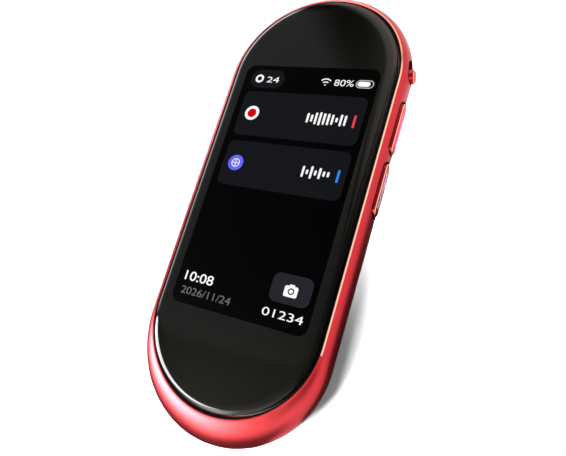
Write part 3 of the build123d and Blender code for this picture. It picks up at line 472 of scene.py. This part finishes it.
def shellCutters():
    k, w, p, h, t = keyShape, switchShape, portShape, soundHoles, traySlot
    turn, keyHigh = radians(w["turn"]), k["height"]
    (xLow, zLow), (xTop, zTop) = h["bottom"], h["top"]

    def side(level):   # how far out the side wall lies, round an opening at that level
        return lambda a, c: wallAt(level + c)[0]

    def end(x, level, chin=True):   # and the two ends, the lower one with its chin
        def out(a, c):
            radius = wallAt(level + c)[0]
            return (form["arcCentre"] + (reachAt(radius, level + c) if chin else 0)
                    + sqrt(radius ** 2 - (x + a) ** 2))
        return out

    # the key holes' walls and lips and the switch slot's walls are painted black, as shade in the gaps
    openings = [(f"keyHole{number}", k["holeLength"], k["holeRadius"], k["lip"],
                 lambda a, c, out, y=y: (out, y + a, keyHigh + c),
                 k["holeInner"], side(keyHigh), [gapBlack, gapBlack]) for number, y in enumerate(k["places"])]
    openings += [
        ("switchSlot", w["length"], w["radius"], w["lip"],
         lambda a, c, out: (out * cos(turn) - a * sin(turn),
                            form["arcCentre"] + out * sin(turn) + a * cos(turn), keyHigh + c),
         w["floor"], lambda a, c: sqrt(wallAt(keyHigh + c)[0] ** 2 - a * a), [gapBlack, redShell]),
        ("portHole", p["width"], p["height"] / 2, p["lip"], lambda a, c, out: (a, -out, p["level"] + c),
         p["inner"], end(0, p["level"]), [redShell, redPolished]),
        ("soundHoleBottom", 2 * h["radius"], h["radius"], h["lip"],
         lambda a, c, out: (xLow + a, -out, zLow + c),
         h["inner"][0], end(xLow, zLow), [blackPlastic, redPolished]),
        ("soundHoleTop", 2 * h["radius"], h["radius"], h["lip"],
         lambda a, c, out: (xTop + a, out, zTop + c),
         h["inner"][1], end(xTop, zTop, chin=False), [blackPlastic, redPolished]),
        ("trayHole", t["length"], t["radius"], t["lip"], lambda a, c, out: (-out, t["y"] + a, t["z"] + c),
         t["inner"], side(t["z"]), [blackPlastic, redShell])]
    return [lippedCutter(*opening) for opening in openings]


def trimHighlightBand(piece):
    # painted highlight: the bright band stays on the right side and the top end only, where the light catches
    # it
    materials = list(piece.data.materials)
    for face in piece.data.polygons:
        if materials[face.material_index] == redPolished and (
                face.center.y < shellShape["bandEnd"] * mm or face.center.x < shellShape["bandLeft"] * mm):
            face.material_index = materials.index(redShell)


def smoothWall(mesh):
    # the side wall shades as the smooth law it follows, also round the cuts
    s = shellShape
    normals = [Vector(n.vector) for n in mesh.corner_normals]
    red = [i for i, m in enumerate(mesh.materials) if m == redShell]
    for face in mesh.polygons:
        level = face.center.z / mm
        if (face.material_index in red and 0 < level < form["rimHeight"] - s["underRim"]
                and face.normal.dot(wallNormal(face.center)) > s["onWall"]):
            for loop in face.loop_indices:
                point = mesh.vertices[mesh.loops[loop].vertex_index].co
                if point.z > s["overBack"] * mm:
                    normals[loop] = wallNormal(point)
    mesh.normals_split_custom_set(normals)


shell = sweepPiece("outer_shell_skin", shellSection(), form["arcCentre"], shellShape["arcPoints"],
                   redShell, redPolished, gapBlack, closed=True)
trimHighlightBand(shell)
carve(shell, shellCutters(), shellShape["sharp"])
smoothWall(shell.data)
declare(shell, "housing", "outer_shell")
print("shell made:", len(shell.data.polygons), "faces")


# cover glass

glassShape = {"radius": 22.2, "bottom": 10.95, "top": 11.86, "flat": 19.3, "bevelStart": 21.2,
              "softTilt": 5.0, "bevelTilt": (14.0, 26.0), "steps": 12, "arcPoints": 73, "sharp": 40.0}


def glassSection():
    g = glassShape
    points = [(0, g["top"]), (g["flat"], g["top"])]
    for start, end, tilts in ((g["flat"], g["bevelStart"], (0.0, g["softTilt"])),
                              (g["bevelStart"], g["radius"], g["bevelTilt"])):
        step = (end - start) / g["steps"]
        for i in range(g["steps"]):   # the top turns down slowly, then the polished edge faster
            tilt = tilts[0] + (tilts[1] - tilts[0]) * (i + 0.5) / g["steps"]
            r, z = points[-1]
            points.append((r + step, z - step * tan(radians(tilt))))
    return points + [(g["radius"], g["bottom"]), (0, g["bottom"])]


glass = sweepPiece("front_glass_cover", glassSection(), form["arcCentre"], glassShape["arcPoints"],
                   glassBorder, angle=glassShape["sharp"])
declare(glass, "housing", "front_glass")
print("glass made")


# talk buttons

def sideways(y, z, turn=0.0, centre=(0.0, 0.0)):
    # turns a sweep made upwards so that it points out of the right side
    out = Vector((cos(turn), sin(turn), 0))
    along = Vector((-sin(turn), cos(turn), 0))
    place = Matrix((along.cross(out), along, out)).transposed().to_4x4()
    place.translation = Vector(centre).to_3d() + along * y * mm + Vector((0, 0, z * mm))
    return place


def talkButton(name, y, inlay):
    k = keyShape
    radius, wide = k["holeRadius"] - k["gap"], k["inlayRadius"]
    straight = k["holeLength"] / 2 - k["holeRadius"] - k["endGap"]
    b, low = k["bevel"], k["face"] - k["crown"]
    # the bevel's bright line takes the cream polished finish, partly a painted highlight
    section = [(0, k["inner"]), (radius, k["inner"]), (radius, low - b),
               (radius - b * 0.1, low - b * 0.8, 1), (radius - b * 0.9, low - b * 0.1, 1)]
    for i in range(9):   # the face swells out, as the shell's wall behind it does
        share = 1 - i / 8
        section.append(((radius - b) * share, k["face"] - k["crown"] * share ** k["swell"]))
    button = sweepPiece(name, section, straight, k["arcPoints"], redKey, redPolished,
                        place=sideways(y, k["height"]), angle=k["sharp"])

    def inlaySweep(label, points, finish):   # the groove and the strip in it share one centre line
        return sweepPiece(name + label, points, k["inlayLength"] / 2 - wide, k["inlayArcPoints"], finish,
                          place=sideways(y, k["height"] + k["inlayRise"]))

    floor, top, edge = k["face"] - k["inlayDepth"], k["face"] + k["inlayProud"], k["inlayEdge"]
    carve(button, [inlaySweep("Groove", [(0, floor), (wide, floor), (wide, k["face"] + 1),
                                         (0, k["face"] + 1)], redKey)], k["sharp"])
    strip = inlaySweep("_strip", [(0, floor), (wide - k["inlayGap"], floor),
                                  (wide - k["inlayGap"], top - edge[1]), (wide - edge[0], top),
                                  (0, top + k["inlayCrown"])], inlay)
    return button, strip


for name, y, inlay, slotName in (("upper", keyShape["places"][0], pinkInlay, "pink_inlay"),
                                 ("lower", keyShape["places"][1], slateInlay, "slate_inlay")):
    button, strip = talkButton(name + "_talk_cap", y, inlay)
    declare(button, name + "_key", name + "_talk_button")
    declare(strip, name + "_key", name + "_key_inlay")
print("talk buttons made")


# power switch knob

def knobSection():
    w = switchShape
    r, top, b, foot = w["knobRadius"], w["knobFace"], w["bevel"], w["floor"] + w["knobFoot"]
    points = [(0, foot), (r, foot), (r, top - b)]
    for i in range(1, 7):   # rounded edge with a bright line, a ring of the cream polished finish that is partly painted highlight
        a = radians(90 * i / 6)
        points.append((r - b * (1 - cos(a)), top - b * (1 - sin(a)), 1 if i in (2, 3) else 0))
    flat = r - b - w["dishEdge"]
    for i in range(7):   # thumb dish
        share = 1 - i / 6
        points.append((flat * share, top - w["dish"] * (1 - share ** 2)))
    return points


knob = sweepPiece("power_switch_cap", knobSection(), 0.0, switchShape["arcPoints"], redKey, redPolished,
                  place=sideways(switchShape["knobRest"], keyShape["height"], radians(switchShape["turn"]),
                                 (0, form["arcCentre"] * mm)), angle=switchShape["sharp"])
declare(knob, "switch_knob", "power_switch_knob")
print("switch knob made")


# rear cover

rearShape = {"radius": 18.25, "thickness": 1.0, "chamfer": 0.15, "sharp": 28.0, "cameraY": 44.0,
             "cameraHole": 4.35, "cameraLip": 0.15, "flashX": 8.8, "flashHole": 1.6, "flashLip": 0.12,
             "holeTop": 3.0, "speakerY": -37.5, "holeRadius": 0.4, "pitch": 1.6, "columns": 9, "rows": 3}


def makeHoleField():
    # staggered rows of round cutters for the speaker
    tree, given, out, add, calc = newTree("holeField", "GeometryNodeTree", [
        ("Geometry", "Geometry", None), ("Columns", "Int", 9), ("Rows", "Int", 3), ("Pitch", "Float", 0.0016),
        ("Radius", "Float", 0.0004), ("Depth", "Float", 0.004), ("Centre Y", "Float", 0.0),
        ("Finish", "Material", None)], [("Mesh", "Geometry")])
    columns, rows, pitch = given["Columns"], given["Rows"], given["Pitch"]
    grid = add("GeometryNodeMeshGrid", {
        "Size X": calc("*", calc("-", columns, 1.0), pitch), "Vertices X": columns,
        "Size Y": calc("*", calc("-", rows, 1.0), calc("*", pitch, sqrt(3) / 2)),
        "Vertices Y": rows})
    index = add("GeometryNodeInputIndex")
    odd = calc("MODULO", calc("MODULO", index, rows), 2.0)
    shift = add("ShaderNodeCombineXYZ", {0: calc("*", calc("*", odd, 0.5), pitch),
                                         1: given["Centre Y"]})
    moved = add("GeometryNodeSetPosition", {"Geometry": grid, "Offset": shift})
    last = calc("*", odd, calc("GREATER_THAN", calc("FLOOR", calc("/", index, rows)),
                               calc("-", columns, 1.5)))
    kept = add("GeometryNodeDeleteGeometry", {"Geometry": moved, "Selection": last})
    drill = add("GeometryNodeMeshCylinder", {"Vertices": 20, "Radius": given["Radius"],
                                             "Depth": given["Depth"]})
    field = add("GeometryNodeInstanceOnPoints", {"Points": kept, "Instance": drill})
    tree.links.new(dress(add, field, given["Finish"]).outputs[0], out[0])
    return tree


def roundCutter(name, x, y, radius, lip, top):
    # round cut with a chamfer at the bottom, which is the outside
    rings = [arc(x, y, r, 0, 360 - 360 / 48, 47) for r in (radius + lip + 1, radius, radius)]
    return ringsPiece(name, [[(*spot, z) for spot in ring] for ring, z in zip(rings, (-1, lip, top))],
                      [1, 0], [redShell, redPolished])


cover = rearShape
rear = sweepPiece("rear_cover_panel", [(0, 0), (cover["radius"] - cover["chamfer"], 0),
                                       (cover["radius"], cover["chamfer"]),
                                       (cover["radius"], cover["thickness"]), (0, cover["thickness"])],
                  form["arcCentre"], shellShape["arcPoints"], redShell)
speakerHoles = newPiece("speakerHoles", tidyMesh(growMesh("speakerHoles", makeHoleField(), {
    "Columns": cover["columns"], "Rows": cover["rows"], "Pitch": cover["pitch"] * mm,
    "Radius": cover["holeRadius"] * mm, "Centre Y": cover["speakerY"] * mm, "Finish": redShell})))
carve(rear, [speakerHoles, *(
    roundCutter(hole, x, cover["cameraY"], cover[hole], cover[lip], cover["holeTop"])
    for hole, lip, x in (("cameraHole", "cameraLip", 0), ("flashHole", "flashLip", cover["flashX"])))],
      cover["sharp"])
declare(rear, "housing", "rear_cover")
print("rear cover made:", len(rear.data.polygons), "faces")


# picture on the display: flat faces that shine, in layers just above the glass, all in mm

screenColours = {"window": (0, 0, 0), "card": (20, 21, 25), "white": (255, 255, 255), "soft": (196, 196, 198),
                 "grey": (112, 112, 112), "red": (214, 0, 0), "redBar": (235, 66, 70),
                 "violet": (104, 104, 250), "blueBar": (48, 138, 245), "button": (36, 38, 44)}
picture = {"glassTop": 11.86, "lift": 0.008, "gloss": 0.05, "roughness": 0.3, "nutRadius": 1.28,
           "nutCorners": (18, 42)}
spots = {"settings": (-14.31, 31.81), "signal": (5.12, 30.7), "record": (-13.23, 21.2),
         "globe": (-13.19, 6.25), "lens": (12.45, -24.05)}
glow = {key: newFinish("glow" + key[0].upper() + key[1:], (0, 0, 0), picture["roughness"],
                       specular=picture["gloss"], shine=(fromScreen(*colour), 1.0))
        for key, colour in screenColours.items()}


def layerHeight(layer):
    return (picture["glassTop"] + picture["lift"] * layer) * mm


def box(x0, y0, x1, y1, radius):
    points = []
    for x, y, start in ((x1 - radius, y1 - radius, 0), (x0 + radius, y1 - radius, 90),
                        (x0 + radius, y0 + radius, 180), (x1 - radius, y0 + radius, 270)):
        points += arc(x, y, radius, start, start + 90, 8)
    return points


def roundSpot(centre, radius, steps=40):
    return arc(*centre, radius, 0, 360 - 360 / steps, steps - 1)


def arcBand(centre, inner, outer, start, end, steps=20):
    return arc(*centre, outer, start, end, steps) + arc(*centre, inner, start, end, steps)[::-1]


def nut():
    # hexagon with soft corners
    start, end = picture["nutCorners"]
    return [point for turn in range(0, 360, 60) for point in arc(
        *spots["settings"], picture["nutRadius"], turn + start, turn + end, 4)]


def flatPiece(name, parts):
    # parts are (outline, layer, colour); each is one flat face that looks up
    keys = sorted({key for outline, layer, key in parts})
    vertices, faces, marks = [], [], []
    for outline, layer, key in parts:
        if sum(a[0] * b[1] - b[0] * a[1] for a, b in zip(outline, outline[1:] + outline[:1])) < 0:
            outline = outline[::-1]
        start = len(vertices)
        vertices += [(x * mm, y * mm, layerHeight(layer)) for x, y in outline]
        faces.append(tuple(range(start, len(vertices))))
        marks.append(keys.index(key))
    mesh = bpy.data.meshes.new(name)
    mesh.from_pydata(vertices, [], faces)
    declare(newPiece(name, mesh, [glow[key] for key in keys]), "housing")
    mesh.polygons.foreach_set("material_index", marks)


def numberPiece(name, words, x, y, height, width, key="white", bold=0.0):
    # plain numerals, made a mesh and fitted to a box by its lower left corner
    curve = bpy.data.curves.new(name + "Text", "FONT")
    curve.body, curve.offset = words, bold
    seed = newPiece(name + "Text", curve)
    mesh = settle(seed)
    bpy.data.objects.remove(seed)
    xs, ys = [v.co.x for v in mesh.vertices], [v.co.y for v in mesh.vertices]
    scaleX, scaleY = width / (max(xs) - min(xs)), height / (max(ys) - min(ys))
    left, bottom, level = min(xs), min(ys), layerHeight(3)
    for v in mesh.vertices:
        v.co = ((x + (v.co.x - left) * scaleX) * mm, (y + (v.co.y - bottom) * scaleY) * mm, level)
    work = bmesh.new()
    work.from_mesh(mesh)
    for face in work.faces:
        if face.normal.z < 0:
            face.normal_flip()
    work.to_mesh(mesh)
    work.free()
    mesh.materials.clear()
    mesh.name = name
    declare(newPiece(name, mesh, [glow[key]]), "housing")


def makeVoiceBars():
    # a row of round-ended upright bars whose heights swell and sink like a voice
    tree, given, out, add, calc = newTree("voiceBars", "GeometryNodeTree", [
        ("Geometry", "Geometry", None), ("Start", "Vector", (0, 0, 0)), ("Bars", "Int", 9),
        ("Pitch", "Float", 0.0011), ("Bar Width", "Float", 0.0005), ("Lowest", "Float", 0.0006),
        ("Highest", "Float", 0.0036), ("Seed", "Int", 3), ("Finish", "Material", None)],
        [("Mesh", "Geometry")])
    step = add("ShaderNodeCombineXYZ", {0: given["Pitch"]})
    row = add("GeometryNodeMeshLine", {"Count": given["Bars"], "Start Location": given["Start"],
                                       "Offset": step}, mode="OFFSET")
    end = add("GeometryNodeMeshCircle", {"Vertices": 16, "Radius": calc("/", given["Bar Width"], 2.0)},
              fill_type="NGON")
    swell = add("FunctionNodeRandomValue", {2: given["Lowest"], 3: given["Highest"], "Seed": given["Seed"]},
                data_type="FLOAT").outputs[1]
    bars = add("GeometryNodeInstanceOnPoints", {"Points": store(add, row, "tall", swell), "Instance": end})
    bars = add("GeometryNodeRealizeInstances", {"Geometry": bars})
    away = calc("-", *(add("ShaderNodeSeparateXYZ", {0: place}).outputs[1]
                              for place in (add("GeometryNodeInputPosition"), given["Start"])))
    lift = add("ShaderNodeCombineXYZ", {1: calc(
        "*", calc("SIGN", calc("+", away, 1e-7)),
        calc("/", calc("-", stored(add, "tall"), given["Bar Width"]), 2.0))})
    bars = add("GeometryNodeSetPosition", {"Geometry": bars, "Offset": lift})
    tree.links.new(dress(add, bars, given["Finish"]).outputs[0], out[0])
    return tree


pictureParts = {
    # piece: its (outline, layer, colour) parts
    "display_window": [(box(-19.03, -33.7, 19.03, 35.9, 2.5), 1, "window")],
    "display_cards": [(box(-17.15, 14.49, 17.7, 27.86, 1.9), 2, "card"),
                      (box(-17.1, -0.22, 17.6, 12.77, 1.9), 2, "card"),
                      (box(-17.12, 29.0, -6.73, 34.6, 2.79), 2, "card")],
    "settings_icon": [(nut(), 3, "white"), (roundSpot(spots["settings"], 0.66), 4, "card")],
    "signal_icon": [(roundSpot((5.12, 30.86), 0.2), 3, "white"),
                    (arcBand(spots["signal"], 0.86, 1.18, 47, 133), 3, "white"),
                    (arcBand(spots["signal"], 1.72, 2.05, 47, 133), 3, "white")],
    "charge_icon": [(box(13.22, 30.4, 17.89, 32.72, 1.16), 3, "soft"),
                    (box(13.46, 30.63, 17.65, 32.49, 0.92), 4, "window"),
                    (box(13.7, 30.86, 17.0, 32.26, 0.69), 5, "white")],
    "upper_voice_mark": [(roundSpot(spots["record"], 2.12, 56), 3, "white"),
                         (roundSpot(spots["record"], 1.32, 48), 4, "red"),
                         (box(15.3, 19.26, 15.92, 22.81, 0.3), 3, "redBar")],
    "lower_voice_mark": [(roundSpot(spots["globe"], 2.24, 56), 3, "violet"),
                         (arcBand(spots["globe"], 1.0, 1.22, 0, 359.9, 48), 4, "white"),
                         (box(-14.3, 6.15, -12.08, 6.35, 0.1), 4, "white"),
                         (box(-13.29, 5.1, -13.09, 7.4, 0.1), 4, "white"),
                         (box(15.26, 4.5, 15.86, 7.9, 0.3), 3, "blueBar")],
    "camera_button": [(box(7.17, -27.26, 17.56, -20.02, 1.9), 2, "button"),
                      (box(10.66, -25.44, 14.11, -22.75, 0.5), 3, "white"),
                      (box(11.7, -22.9, 13.1, -22.37, 0.2), 3, "white"),
                      (roundSpot(spots["lens"], 0.82), 4, "button"),
                      (roundSpot(spots["lens"], 0.5), 5, "white")],
}
numerals = {
    # piece: numerals, left, bottom, height, width, then colour and boldness where they aren't plain white
    "charge_number": ("80%", 7.5, 30.7, 1.85, 5.2),
    "clock_number": ("10:08", -16.84, -27.65, 2.5, 8.46, "white", 0.008),
    "date_number": ("2026/11/24", -16.7, -31.2, 1.95, 14.6, "grey"),
    "settings_number": ("24", -12.0, 30.75, 1.75, 3.7),
    "camera_number": ("01234", 6.75, -31.05, 2.0, 10.6),
}
voices = {
    # piece: middle of the first bar, how many, seed of their heights
    "upper_voice_bars": (3.2, 21.1, 10, 11),
    "lower_voice_bars": (6.3, 6.3, 7, 4),
}
voiceShape = {"Pitch": 1.12 * mm, "Bar Width": 0.62 * mm, "Lowest": 0.9 * mm, "Highest": 3.9 * mm,
              "Finish": glow["white"]}
for name, parts in pictureParts.items():
    flatPiece(name, parts)
for name, numeral in numerals.items():
    numberPiece(name, *numeral)
voiceBars = makeVoiceBars()
for name, (x, y, bars, seed) in voices.items():
    mesh = growMesh(name, voiceBars, {"Start": (x * mm, y * mm, layerHeight(3)), "Bars": bars, "Seed": seed,
                                      **voiceShape})
    declare(newPiece(name, mesh), "housing")
print("display picture made")


# finishes of the pieces that keep their own shape

nodeFinish = {
    "bezel_frame": gapBlack, "power_switch_liner": gapBlack, "sim_tray": redShell,
    "camera_bezel": bezelMetal, "camera_window": lensGlass, "flash_light_pipe": lensGlass,
    "usb_receptacle": steel, "usb_contact_tongue": blackPlastic, "mid_frame": frameAlloy,
}
finishes.update(cover_glass=glassBorder, display=glassBorder)
for name, node in nodes.items():
    for place in node.material_slots:
        named = place.material.name.split(".")[0] if place.material else ""
        place.material = nodeFinish.get(name) or finishes.get(named) or blackPlastic
print("finishes laid on", len(nodes), "nodes")


# camera

cameraSet = {"place": (55.5644, -39.7893, 126.4046), "lookAt": (-8.2317, -16.1666, 5.0), "roll": -54.3013,
             "lens": 32.94, "sensor": 36.0, "shift": (0.0818, 0.0417), "nearest": 0.005}


def aimed(direction, roll):
    return direction.to_track_quat("-Z", "Y") @ Quaternion((0, 0, 1), radians(roll))


cameraData = bpy.data.cameras.new("camera")
cameraData.lens, cameraData.sensor_width = cameraSet["lens"], cameraSet["sensor"]
cameraData.shift_x, cameraData.shift_y = cameraSet["shift"]
cameraData.clip_start = cameraSet["nearest"]
camera = newPiece("camera", cameraData)
camera.rotation_mode = "QUATERNION"
eye = Vector(cameraSet["place"])
camera.location = eye * mm
camera.rotation_quaternion = aimed(Vector(cameraSet["lookAt"]) - eye, cameraSet["roll"])
bpy.context.scene.camera = camera


# floor, which keeps the shadow, and black cards on it that paint shade into the reflections

floorSet = {"size": 6.0, "drop": 0.02, "colour": 0.8, "roughness": 0.9, "glow": 0.1, "farGlow": 0.75,
            "glowFrom": 0.2, "glowTo": 0.9, "mirrored": 0.85}


def makeFloor():
    f = floorSet
    half, paint = f["size"] / 2, (f["colour"],) * 3
    mesh = bpy.data.meshes.new("floor")
    mesh.from_pydata([(-half, -half, 0), (half, -half, 0), (half, half, 0), (-half, half, 0)], [],
                     [(0, 1, 2, 3)])
    finish = newFinish("floorFinish", paint, f["roughness"], specular=0.0)
    tree = finish.node_tree
    add, calc = nodeMaker(tree)
    shader = tree.nodes["Principled BSDF"]
    ray = add("ShaderNodeLightPath").outputs
    mirrored = calc("MAXIMUM", ray["Is Glossy Ray"], ray["Is Transmission Ray"])   # gloss shows a plain floor
    tone = add("ShaderNodeMix", {"Factor": mirrored, 6: (*paint, 1), 7: (0, 0, 0, 1)}, data_type="RGBA")
    tree.links.new(tone.outputs[2], shader.inputs["Base Color"])
    away = add("ShaderNodeVectorMath", {0: add("ShaderNodeTexCoord").outputs["Object"]}, operation="LENGTH")
    far = grade(add, away.outputs["Value"], f["glowFrom"], f["glowTo"], f["glow"], f["farGlow"])
    tree.links.new(calc("+", calc("*", ray["Is Camera Ray"], far),
                        calc("*", mirrored, f["mirrored"])), shader.inputs["Emission Strength"])
    floor = newPiece("floor", mesh, [finish])
    floor.location.z = -f["drop"] * mm


# painted shade in reflections: the cards lie round the lower half and only gloss shows them, low on the
# sides; like flags at a product shoot, they stand in for the floor's shade beside the object
shadeCardSet = {"gap": -14.0, "wide": 200.0, "narrow": 36.0, "level": 0.05, "openFrom": 302.0, "openTo": 326.0,
           "steps": (40, 12), "sideEnd": 95.0, "fade": (2.0, 34.0), "tone": 0.02, "roughness": 0.9}


def makeShadeCards():
    c = shadeCardSet
    lowCentre, near = -form["arcCentre"] - form["chin"], form["widest"] + c["gap"]
    vertices, faces = [], []
    for start, end, width, steps in ((180, c["openFrom"], c["wide"], c["steps"][0]),
                                     (c["openTo"], 360, c["narrow"], c["steps"][1])):
        edges = [arc(0, lowCentre, radius, start, end, steps) for radius in (near, near + width)]
        for i, pair in enumerate(zip(*edges)):
            vertices += pair
            if i:
                n = len(vertices)
                faces.append((n - 4, n - 3, n - 1, n - 2))
    for side, start, width in ((-1, 0, c["wide"]), (1, len(vertices) - 2, c["narrow"])):   # both long sides
        n = len(vertices)
        vertices += [(side * x, c["sideEnd"]) for x in (near, near + width)]
        faces.append((start, start + 1, n + 1, n))
    mesh = bpy.data.meshes.new("blackCards")
    mesh.from_pydata([(x * mm, y * mm, c["level"] * mm) for x, y in vertices], [], faces)
    finish = newFinish("cardBlack", (c["tone"],) * 3, c["roughness"], specular=0.0)
    tree = finish.node_tree   # towards the top end the cards fade into the floor, so the painted shade stays at the lower end
    add = nodeMaker(tree)[0]
    shine = grade(add, alongBody(add), c["fade"][0] * mm, c["fade"][1] * mm, 0.0, floorSet["mirrored"])
    tree.links.new(shine, tree.nodes["Principled BSDF"].inputs["Emission Strength"])
    cards = newPiece("blackCards", mesh, [finish])
    cards.visible_camera = cards.visible_diffuse = cards.visible_shadow = cards.visible_transmission = False


makeFloor()
makeShadeCards()


# lamps and the studio round the object

lamps = {
    # azimuth, elevation, roll, distance, width, height, spread, aim in mm, radiance, in gloss, on matt
    "leftBox": (209, 32, -38, 0.6, 0.26, 0.68, 180, (0, 0, 6), 16.0, True, False),
    "topBox": (165, 77, 0, 0.7, 0.30, 0.30, 180, (0, 0, 6), 22.5, False, True),
    "cornerFill": (40, 72, 0, 0.08, 0.03, 0.03, 54, (44, 27, 0), 32.0, False, True),
    "chinFill": (250, 62, 0, 0.08, 0.03, 0.03, 56, (0, -66, 0), 22.0, False, True),
}
for name, values in lamps.items():
    azimuth, elevation, roll, distance, width, height, spread, aim, level, glossy, matt = values
    light = bpy.data.lights.new(name, "AREA")
    light.shape, light.size, light.size_y, light.spread = "ELLIPSE", width, height, radians(spread)
    light.energy = level * pi * pi / 4 * width * height
    lamp = newPiece(name, light)
    azimuth, elevation = radians(azimuth), radians(elevation)
    toward = Vector((cos(azimuth) * cos(elevation), sin(azimuth) * cos(elevation), sin(elevation)))
    lamp.location = toward * distance + Vector(aim) * mm
    lamp.rotation_mode = "QUATERNION"
    lamp.rotation_quaternion = aimed(-toward, roll)
    lamp.visible_camera = False
    lamp.visible_glossy, lamp.visible_diffuse = glossy, matt

# walls: azimuth of the middle, half width and soft edge in degrees, colour, levels at the stops' elevations
stops = (0.0, 20.0, 30.0, 40.0, 50.0, 60.0, 90.0)
walls = {
    "back": (84, 28, 10, (1.0, 0.85, 0.75), (1.1, 1.2, 1.45, 1.4, 1.0, 0.5, 0.1)),
    "right": (358, 54, 10, (1, 0.97, 0.97), (1.05, 1.15, 1.2, 1.15, 0.05, 0.02, 0.1)),
    "left": (152, 30, 6, (0.93, 0.97, 1), (6.5, 0.5, 0.4, 0.35, 0.3, 0.25, 0.1)),
    "front": (237, 55, 12, (1, 1, 1), (0.04, 0.04, 0.04, 0.05, 0.08, 0.12, 0.1)),
    "chinGlow": (231, 22, 15, (1, 0.97, 0.88), (0.0, 0.0, 1.8, 8.0, 3.6, 0.3, 0.0)),
    "chinSide": (283, 29, 16, (1, 0.9, 0.8), (0.0, 0.0, 0.6, 1.8, 1.1, 0.3, 0.0)),
}
peak = 8.0   # the ramps hold shares of the brightest level
fill = {"Is Diffuse Ray": 0.22, "Is Camera Ray": 1.0}   # even fill for matt surfaces, white backdrop
world = bpy.data.worlds.new("studio")
world.use_nodes = True
bpy.context.scene.world = world
add, calc = nodeMaker(world.node_tree)
direction = add("ShaderNodeSeparateXYZ", {0: add("ShaderNodeTexCoord").outputs["Generated"]}).outputs
elevation = calc("*", calc("ARCSINE", direction[2]), 180 / pi)
azimuth = calc("*", calc("ARCTAN2", direction[1], direction[0]), 180 / pi)
total = (0, 0, 0)
for middle, half, soft, colour, levels in walls.values():
    away = calc("ABSOLUTE", calc("-", calc("FLOORED_MODULO", calc(
        "+", calc("-", azimuth, float(middle)), 180.0), 360.0), 180.0))
    share = grade(add, away, half - soft / 2, half + soft / 2, 1.0, 0.0, "SMOOTHSTEP")
    ramp = add("ShaderNodeValToRGB", {0: calc("/", elevation, 90.0)})
    while len(ramp.color_ramp.elements) < len(stops):
        ramp.color_ramp.elements.new(0.5)
    for element, stop, height in zip(ramp.color_ramp.elements, stops, levels):
        element.position = stop / 90
        element.color = (*(c * height / peak for c in colour), 1)
    glowing = add("ShaderNodeVectorMath", {0: ramp, "Scale": calc("*", share, peak)},
                  operation="SCALE")
    total = add("ShaderNodeVectorMath", {0: total, 1: glowing}, operation="ADD")
ray = add("ShaderNodeLightPath").outputs
for kind, level in fill.items():
    total = add("ShaderNodeMix", {"Factor": ray[kind], 6: total, 7: (level,) * 3 + (1,)},
                data_type="RGBA").outputs[2]
world.node_tree.links.new(total, world.node_tree.nodes["Background"].inputs["Color"])
bpy.context.scene.view_settings.view_transform = "Standard"
bpy.context.scene.cycles.caustics_reflective = False   # no red glow thrown on the floor
print("camera, floor and light made")
